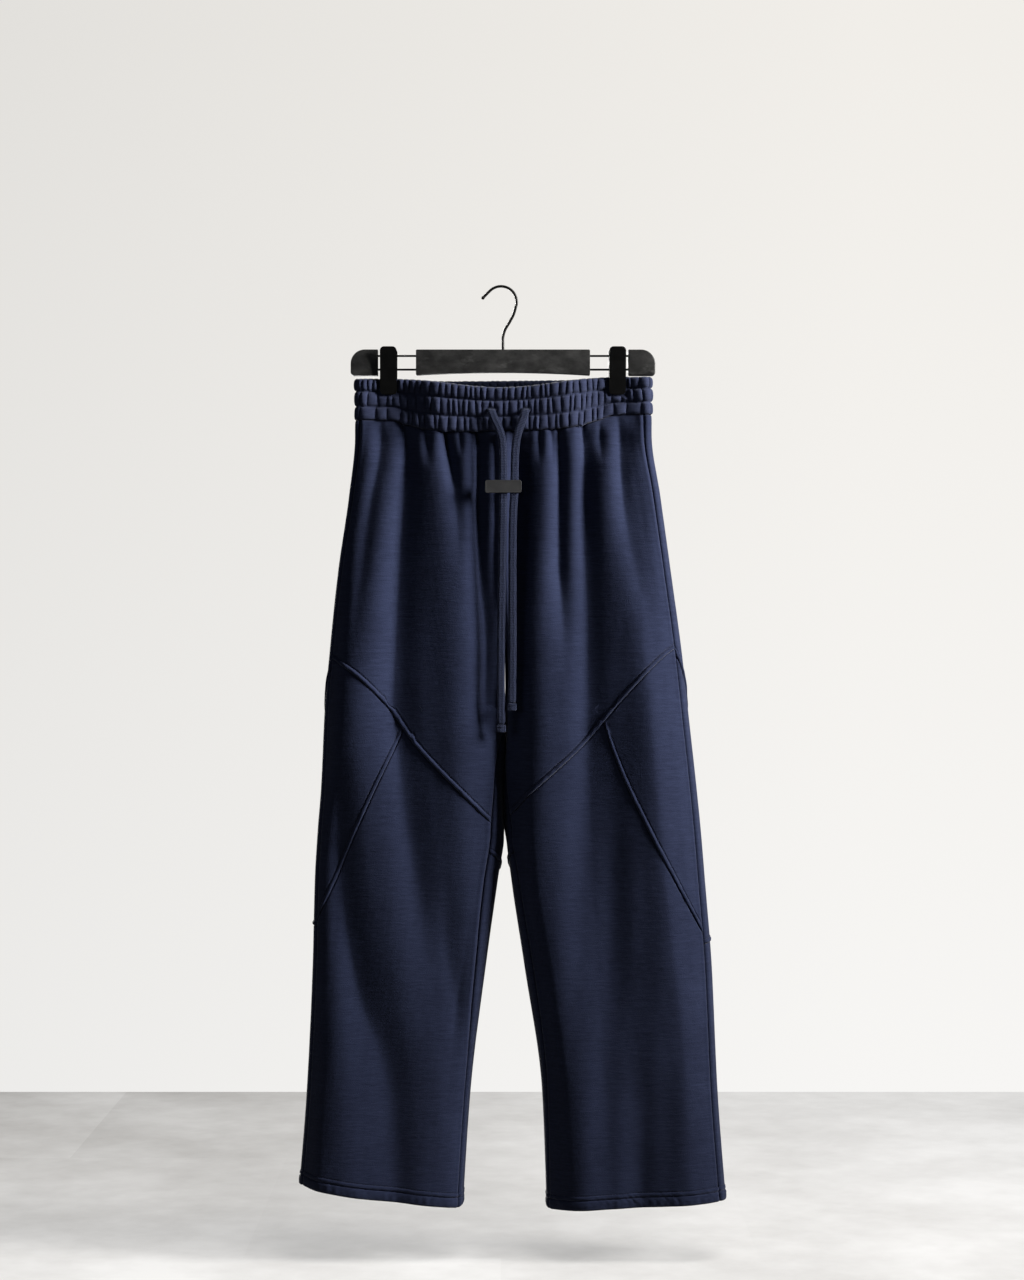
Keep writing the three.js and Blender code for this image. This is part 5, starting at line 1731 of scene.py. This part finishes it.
@dataclass
class Studio:
    """Camera, soft light, pale backdrop and floor."""

    camera_place: Point = (0.0132, -3.2, -0.4228)
    lens: float = 50.0
    sensor_height: float = 24.0
    floor_front: float = -0.75
    floor_back: float = 1.18
    floor_half: float = 3.2
    slab: float = 0.62

    def build(self) -> None:
        """Sets the camera, the floor, the lights and the backdrop."""
        self._camera()
        floor = self._floor()
        for lamp in LAMPS:
            lamp.hang(floor)
        self._backdrop()
        bpy.context.scene.view_settings.view_transform = "Standard"
        bpy.context.scene.view_settings.look = "None"

    def _camera(self) -> None:
        """A level camera straight in front."""
        data = bpy.data.cameras.new("camera")
        data.sensor_fit = "VERTICAL"
        data.lens, data.sensor_height = self.lens, self.sensor_height
        camera = bpy.data.objects.new("camera", data)
        camera.location = self.camera_place
        camera.rotation_euler = (math.radians(90), 0, 0)
        bpy.context.scene.collection.objects.link(camera)
        bpy.context.scene.camera = camera

    def _backdrop(self) -> None:
        """The pale backdrop that is seen, and the room's glow, which lights the object a little. The backdrop
        holds painted light: it is lighter towards the right, where the key falls, and lighter towards the
        bottom.
        """
        world = bpy.data.worlds.new("world")
        world.use_nodes = True
        sky = Nodes(world.node_tree)
        split = sky.add("SeparateXYZ", {0: sky.add("TexCoord").outputs["Generated"]})
        # painted light: the backdrop is lighter towards the right, where the key falls, and towards the
        # bottom
        across, down = sky.ramp(split.outputs[0], -0.19, 0.13), sky.ramp(split.outputs[2], 0.22, -0.17)
        high = sky.mix(across, (0.761, 0.745, 0.716), (0.879, 0.855, 0.815))
        low = sky.mix(across, (0.847, 0.839, 0.823), (0.930, 0.921, 0.905))
        seen = sky.add("Background", {0: sky.mix(down, high, low)})
        glow = sky.add("Background", {0: (0.85, 0.9, 1.0), 1: 0.03})
        straight = sky.add("LightPath").outputs["Is Camera Ray"]
        both = sky.add("MixShader", {0: straight, 1: glow.outputs[0], 2: seen.outputs[0]})
        sky.add("OutputWorld", {0: both.outputs[0]})
        bpy.context.scene.world = world

    def _floor(self) -> bpy.types.Object:
        """The pale clouded floor, which ends where the backdrop begins, and which glows with painted light
        that is brighter towards the right, where the key falls, and towards the front.

        Returns:
            The floor.
        """
        board = Board("floor_concrete", use_uv=False)
        cloud, fine = board.noise(board.place, 3.5, 8.0, 0.62), board.noise(board.place, 22.0, 6.0, 0.6)
        share = board.ramp(board.plus(cloud, board.times(fine, 0.35)), 0.5, 0.85)
        split = board.add("SeparateXYZ", {0: board.place})
        right = board.ramp(split.outputs[0], -0.9, 0.6)
        near = board.ramp(board.times(split.outputs[1], -1.0), -0.9, 0.3)
        slabs = board.add("TexBrick", {
            0: board.place, 1: (0, 0, 0), 2: (1, 1, 1), "Scale": 1.0, "Mortar Size": 0.0,
            "Brick Width": self.slab, "Row Height": self.slab,
        })
        # painted light: the floor's glow rises towards the right, where the key falls, and towards the front,
        # with its slab lines and cloud on top
        painted_light_and_slabs = board.plus(
            board.times(board.maths("MAXIMUM", near, right), 0.75),
            board.times(board.maths("SUBTRACT", slabs.outputs[0], 0.5), 0.14),
            board.times(board.maths("SUBTRACT", share, 0.5), 0.2),
        )
        # painted light: the floor glows in this colour, at the emission strength set below, though it is no
        # lamp
        glow = board.mix(board.ramp(painted_light_and_slabs, 0.0, 1.0), (0.19, 0.186, 0.18), (0.52, 0.516, 0.51))
        board.feed(board.shader.inputs["Emission Color"], glow)
        paint = board.mix(share, (0.2, 0.194, 0.187), (0.25, 0.247, 0.243))
        half, near_y, far_y = self.floor_half, self.floor_front, self.floor_back
        outline = ((-half, near_y), (half, near_y), (half, far_y), (-half, far_y))
        corners = np.array([(x, y, FLOOR_Z) for x, y in outline])
        sheet = add_object("floor", corners, np.array([[0, 1, 2, 3]]))
        sheet.data.materials.append(board.finish(paint, 0.65, Emission_Strength=1.45))
        sheet.visible_diffuse = False
        return sheet


# ------------ hard pieces
def arc(centre: Corner, radius: float, start: float, end: float, count: int) -> list[Corner]:
    """Points of an arc, with angles in degrees."""
    angles = np.radians(np.linspace(start, end, count))
    return [(centre[0] + radius * math.cos(a), centre[1] + radius * math.sin(a)) for a in angles]


def rounded(left: float, right: float, bottom: float, top: float, radius: float) -> list[Corner]:
    """Outline of a rectangle with rounded corners.

    Args:
        left: least x.
        right: greatest x.
        bottom: least z.
        top: greatest z.
        radius: of its corners.

    Returns:
        Its points, counter-clockwise.
    """
    left, right, bottom, top = left + radius, right - radius, bottom + radius, top - radius
    corners = ((right, bottom, -90), (right, top, 0), (left, top, 90), (left, bottom, 180))
    return [point for x, z, turn in corners for point in arc((x, z), radius, turn, turn + 90, 7)]


class Bench:
    """Shapes one hard piece by hand: an outline, extruded, bored and with its edges broken.

    Edges sharper than SHARP degrees are bevelled, and those below SMOOTH degrees are shaded smooth.
    """

    SHARP = 35
    SMOOTH = 38

    def __init__(self, name: str, outline: Sequence[Corner], near_y: float, far_y: float) -> None:
        """Adds a disc, moves its rim to the outline (x, z) and extrudes it from near_y to far_y.

        Args:
            name: the piece's name.
            outline: corners in mm, as x and z about the garment's middle.
            near_y: y of the front face.
            far_y: y of the back face.
        """
        bpy.ops.object.select_all(action="DESELECT")
        bpy.ops.mesh.primitive_circle_add(vertices=len(outline), radius=0.01, fill_type="NGON")
        self.piece = bpy.context.object
        self.piece.name = name
        for vertex, (x, z) in zip(self.piece.data.vertices, outline):
            vertex.co = ((x + MIDDLE_X) * MM, near_y * MM, z * MM)
        bpy.ops.object.mode_set(mode="EDIT")
        bpy.ops.mesh.select_all(action="SELECT")
        bpy.ops.mesh.extrude_region_move(TRANSFORM_OT_translate={"value": (0, (far_y - near_y) * MM, 0)})
        bpy.ops.mesh.select_all(action="SELECT")
        bpy.ops.mesh.normals_make_consistent(inside=False)
        bpy.ops.object.mode_set(mode="OBJECT")

    def _pick(self) -> None:
        """Selects this piece alone."""
        bpy.ops.object.select_all(action="DESELECT")
        self.piece.select_set(True)
        bpy.context.view_layer.objects.active = self.piece

    def _apply(self, kind: str, **settings: object) -> None:
        """Adds a modifier and applies it.

        Args:
            kind: the modifier's type.
            settings: its properties.
        """
        modifier = self.piece.modifiers.new(kind.lower(), kind)
        for key, value in settings.items():
            setattr(modifier, key, value)
        bpy.context.view_layer.objects.active = self.piece
        bpy.ops.object.modifier_apply(modifier=modifier.name)

    def cut(self, tool: "Bench") -> None:
        """Takes another shape's room out of this one, and clears that shape away."""
        self._apply("BOOLEAN", operation="DIFFERENCE", object=tool.piece, solver="EXACT")
        bpy.data.objects.remove(tool.piece, do_unlink=True)

    def sink_face(self, border: float, depth: float) -> None:
        """Insets the front face and pushes its middle in, which leaves a raised rim.

        Args:
            border: the rim's width.
            depth: how far the middle sinks.
        """
        self._pick()
        mesh = self.piece.data
        front = min(vertex.co.y for vertex in mesh.vertices)
        for part in (*mesh.edges, *mesh.vertices):
            part.select = False
        for polygon in mesh.polygons:
            polygon.select = polygon.normal.y < -0.99 and polygon.center.y < front + 1e-5
        bpy.ops.object.mode_set(mode="EDIT")
        bpy.ops.mesh.select_mode(type="FACE")
        bpy.ops.mesh.inset(thickness=border * MM)
        bpy.ops.transform.translate(value=(0, depth * MM, 0))
        bpy.ops.mesh.inset(thickness=0.35 * MM)
        bpy.ops.object.mode_set(mode="OBJECT")

    def finish(self, bevel: float, segments: int) -> bpy.types.Object:
        """Breaks the edges by bevel mm and smooths the shading.

        Args:
            bevel: the bevel's width in mm.
            segments: the bevel's steps.

        Returns:
            The finished piece.
        """
        self._apply("BEVEL", width=bevel * MM, segments=segments, limit_method="ANGLE",
                    angle_limit=math.radians(self.SHARP), use_clamp_overlap=True)
        self._pick()
        bpy.ops.object.shade_smooth_by_angle(angle=math.radians(self.SMOOTH))
        return self.piece


def wire_tube(name: str, centres: Array, radii: Array, sides: int = 20) -> bpy.types.Object:
    """A round wire along a path in the XZ plane, whose rings shrink to nothing at its ends.

    Args:
        name: the piece's name.
        centres: the path, in mm.
        radii: the radius at each point.
        sides: corners of each ring.

    Returns:
        The wire.
    """
    side = unit(np.cross(np.gradient(centres, axis=0), [0.0, 1.0, 0.0]))
    angle = round_angles(sides)[None, :, None]
    rings = centres[:, None, :] + radii[:, None, None] * (
        np.cos(angle) * side[:, None, :] + np.sin(angle) * np.array([0.0, 1.0, 0.0])
    )
    points = rings.reshape(-1, 3) * MM
    return add_object(name, points, turned_out(points, tube_faces(len(centres), sides)))


@dataclass
class Hanger:
    """The clip hanger: moulded bar and end blocks, wire hook and rods, and two spring clips."""

    finishes: Finishes
    bar_half: float = 104.3
    bar_top: float = -74.8
    bar_ends: float = -105.4
    bar_middle: float = -102.0
    bar_depth: float = 12.0
    block_inside: float = 150.0
    block_outside: float = 182.5
    block_bottom: float = -105.8
    block_corner: float = 17.0
    block_foot: float = 4.0
    block_depth: float = 13.0
    bar_corner: float = 1.5
    bore_gap: float = 0.3
    rod_radius: float = 1.25
    rod_heights: tuple[float, float] = (-82.0, -98.4)
    rod_end: float = 174.0
    rod_point: float = 0.01
    hook_wire: float = 3.2
    hook_radius: float = 18.8
    hook_seat: float = 5.0
    hook_tip: float = 4.2
    hook_point: float = 0.02
    shank: tuple = ((2.4, -68), (2.4, -60), (4.4, -52), (10.8, -40.6), (15, -32.5))

    def _drill(self, radius: float, place: Callable[[float, float, float], Point]) -> Bench:
        """A round tool.

        Args:
            radius: of the wire that it makes room for.
            place: turns a point's x and z on the end, and its share of the length, into a place in mm.

        Returns:
            The tool, about the garment's middle.
        """
        tool = Bench("wire_room", arc((0, 0), radius + self.bore_gap, 0, 340, 18), 0, 1)
        for vertex in tool.piece.data.vertices:
            across, along, up = vertex.co / MM
            x, y, z = place(across - MIDDLE_X, along, up)
            vertex.co = ((x + MIDDLE_X) * MM, y * MM, z * MM)
        return tool

    def _rod_bores(self, start: float, end: float) -> list[Bench]:
        """Room for the two rods between two x.

        Args:
            start: x of one end.
            end: x of the other.

        Returns:
            The two tools.
        """
        return [
            self._drill(self.rod_radius, lambda a, t, up, z=z: (start + (end - start) * t, a, z + up))
            for z in self.rod_heights
        ]

    def build_bar(self) -> None:
        """The centre bar, flat on top and slightly arched below."""
        half, rise, corner = self.bar_half, self.bar_middle - self.bar_ends, self.bar_corner
        left, right = corner - half, half - corner
        low, high = self.bar_ends + corner, self.bar_top - corner
        outline = [(x, self.bar_ends + rise * (1 - (x / half) ** 2)) for x in np.linspace(left, right, 33)]
        outline += arc((right, low), corner, -80, 0, 5) + arc((right, high), corner, 0, 90, 6)
        outline += arc((left, high), corner, 90, 180, 6) + arc((left, low), corner, 180, 260, 5)
        bench = Bench("hanger_bar_moulded", outline, -self.bar_depth / 2, self.bar_depth / 2)
        seat, deep = self.bar_top - self.hook_seat, 10
        shank_room = self._drill(self.hook_wire / 2, lambda a, t, up: (a, up, seat + deep * t))
        for tool in (*self._rod_bores(-half - 3, half + 3), shank_room):
            bench.cut(tool)
        dress(bench.finish(0.9, 4), self.finishes.bar, ["hanger_bar"])

    def build_blocks(self) -> None:
        """The two end blocks, each rounded over its outer top corner."""
        corner, foot = self.block_corner, self.block_foot
        for side in Side:
            outline = [(self.block_inside, self.block_bottom)]
            outline += arc((self.block_outside - foot, self.block_bottom + foot), foot, -90, 0, 8)
            outline += arc((self.block_outside - corner, self.bar_top - corner), corner, 0, 90, 18)
            outline += [(self.block_inside, self.bar_top)]
            if side is Side.RIGHT:
                outline = [(-x, z) for x, z in outline[::-1]]
            bench = Bench(f"hanger_block_{side.value}", outline, -self.block_depth / 2, self.block_depth / 2)
            reach = (side.sign * (self.block_inside - 3), side.sign * (self.rod_end + self.bore_gap))
            for tool in self._rod_bores(*reach):
                bench.cut(tool)
            dress(bench.finish(1.3, 5), self.finishes.bar, [f"hanger_end_{side.value}"])

    def build_wires(self) -> None:
        """The hook and the two rods."""
        centre = self.hook_wire / 2 - self.hook_radius
        points = [(2.4, self.bar_top - self.hook_seat + 0.3), *self.shank]
        points += [(self.hook_radius * math.cos(a), centre + self.hook_radius * math.sin(a))
                   for a in np.radians(np.linspace(-20, 135, 13))]
        (crown_x, crown_z), slope = points[-1], 14 / math.sqrt(2)
        points += [(crown_x - slope / 2, crown_z - slope / 2), (crown_x - slope, crown_z - slope)]
        path = np.array(points)
        run = run_along(path)
        at = np.linspace(0, run[-1], 190)
        x, z = (hermite(run, path[:, k], np.gradient(path[:, k], run), at) for k in range(2))
        left, tip = run[-1] - at, self.hook_tip / 2
        ball = tip * np.sqrt(np.clip(1 - (left / tip - 1) ** 2, 0, 1))
        radii = np.maximum(self.hook_wire / 2 * (left > tip), ball)
        radii[[0, -1]] = self.hook_point
        hook = wire_tube("hook_wire", np.stack([x, 0 * x, z], axis=1), radii)
        dress(hook, self.finishes.wire, ["hanger_hook"])
        for name, height in zip(("upper", "lower"), self.rod_heights):
            end, face = self.rod_end, self.rod_end + 1e-3
            x = np.concatenate([[-face, -end], np.linspace(0.4 - end, end - 0.4, 80), [end, face]])
            radii = np.full(len(x), self.rod_radius)
            radii[[0, -1]], radii[[1, -2]] = self.rod_point, self.rod_radius - 0.3
            centres = np.stack([x + MIDDLE_X, 0 * x, height + 0 * x], axis=1)
            rod = wire_tube(f"rod_wire_{name}", centres, radii)
            dress(rod, self.finishes.wire, [f"hanger_rod_{name}"])

    def build(self) -> None:
        """Makes every part, and gives the clips, which keep their shape, their black plastic."""
        self.build_bar()
        self.build_blocks()
        self.build_wires()
        for name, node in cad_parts.items():
            if name.startswith("clip_"):
                black = self.finishes.wire if name.endswith("_pin") else self.finishes.black
                node.data.materials.clear()
                node.data.materials.append(black)


@dataclass
class Keeper:
    """The blank rubber plate on the two cords: a raised rim round a sunken face, and one slot."""

    finishes: Finishes
    x: float = 0.4
    y: float = -34.2
    z: float = -240.5
    width: float = 43.0
    height: float = 15.0
    depth: float = 7.0
    corner: float = 2.4
    rim: float = 1.5
    sunk: float = 0.35
    slot: tuple[float, float] = (-6.4, 20.6)
    slot_half: float = 2.0

    def build(self) -> None:
        """Makes the plate."""
        low, high = self.z - self.height / 2, self.z + self.height / 2
        outline = rounded(self.x - self.width / 2, self.x + self.width / 2, low, high, self.corner)
        bench = Bench("keeper_plate", outline, self.y - self.depth / 2, self.y + self.depth / 2)
        bench.sink_face(self.rim, self.sunk)
        (left, right), below, above = self.slot, low - 2, high + 2
        room = [(left, below), (right, below), (right, above), (left, above)]
        bench.cut(Bench("cord_room", room, self.y - self.slot_half, self.y + self.slot_half))
        dress(bench.finish(0.45, 3), self.finishes.rubber, ["cord_keeper"])


@dataclass
class Buttonhole:
    """A worked buttonhole in the waistband, where a cord comes out."""

    side: Side
    finishes: Finishes
    half_width: float = 5.6
    half_height: float = 2.1
    rim: float = 0.5
    y: float = -22.4

    def build(self) -> None:
        """Makes the whipped rim, whose middle is closed by the dark inside."""
        x0 = BUTTONHOLES_X[0] if self.side is Side.RIGHT else BUTTONHOLES_X[1]
        turns, sides = 96, 12
        a, b = round_angles(turns)[:, None], round_angles(sides)[None, :]
        whip = self.rim * (1 + 0.16 * np.cos(32 * a))
        x = x0 + signed_power(np.cos(a), 0.8) * (self.half_width + whip * np.cos(b))
        z = BUTTONHOLE_Z + signed_power(np.sin(a), 0.9) * (self.half_height + whip * np.cos(b))
        y = self.y - whip * np.sin(b) + 0 * a
        points = to_world(listed(x, y, z))
        faces = turned_out(points, tube_faces(turns, sides, closed=True))
        piece = add_object(f"buttonhole_{self.side.value}", points, faces, listed(5 * a, b) * MM)
        dress(piece, self.finishes.braid)


# ------------ stitches
class Stitches:
    """Rows of sewn stitches, each a short thread sunk at both ends."""

    PITCH = 3.3
    LENGTH = 2.5
    RADIUS = 0.28
    RINGS = 6
    SIDES = 6

    def __init__(self) -> None:
        """Starts with no rows."""
        self.points: list[Array] = []
        self.faces: list[Array] = []
        self.total = 0

    def row(self, line: Array, normals: Array, lift: float = 0.12) -> None:
        """Sews along a line of points on the cloth's outside, in mm.

        Args:
            line: the seam, in mm.
            normals: the cloth's normals along it.
            lift: how far the thread stands off.
        """
        run = run_along(line)
        count = int((run[-1] - 1) / self.PITCH)
        if count < 1:
            return
        starts = 0.6 + np.arange(count) * self.PITCH
        t = np.linspace(0, 1, self.RINGS)
        at = starts[:, None] + t[None, :] * self.LENGTH
        sunk = lift + 0.32 * np.sin(np.pi * t) ** 0.6 - 0.3
        radius = self.RADIUS * np.clip(np.sin(np.pi * np.clip(t, 0.03, 0.97)), 0, 1) ** 0.45
        place = np.stack([np.interp(at, run, line[:, k]) for k in range(3)], axis=-1)
        up = np.stack([np.interp(at, run, normals[:, k]) for k in range(3)], axis=-1)
        side = np.cross(unit(np.gradient(place, axis=1)), up)
        angle = round_angles(self.SIDES)
        centre = place + up * sunk[None, :, None]
        rings = centre[:, :, None, :] + radius[None, :, None, None] * (
            np.cos(angle)[None, None, :, None] * side[:, :, None, :]
            + np.sin(angle)[None, None, :, None] * up[:, :, None, :]
        )
        each = self.RINGS * self.SIDES
        cap = np.array([[0, 1, 2, 5], [5, 2, 3, 4]])
        body = tube_faces(self.RINGS, self.SIDES)
        points = rings.reshape(-1, 3)
        one = turned_out(points[:each], np.concatenate([body, cap[:, ::-1], cap + each - self.SIDES]))
        offsets = self.total + np.arange(count)[:, None, None] * each
        self.points.append(points)
        self.faces.append((one[None] + offsets).reshape(-1, 4))
        self.total += len(points)

    def build(self, name: str, material: bpy.types.Material, slot: str) -> None:
        """Makes one object of all the rows so far.

        Args:
            name: the piece's name.
            material: the thread's material.
            slot: not used.
        """
        points = to_world(np.concatenate(self.points))
        piece = add_object(name, points, np.concatenate(self.faces), points[:, [0, 2]])
        dress(piece, material)


def main() -> None:
    """Builds the camera, the cords and then every other piece."""
    finishes = Finishes()
    Studio().build()
    for side in Side:
        Drawcord(side, finishes).build()
    Keeper(finishes).build()
    for side in Side:
        Buttonhole(side, finishes).build()
    Waistband(finishes).build()
    Legs(finishes).build()
    Hanger(finishes).build()


if __name__ == "__main__":
    main()
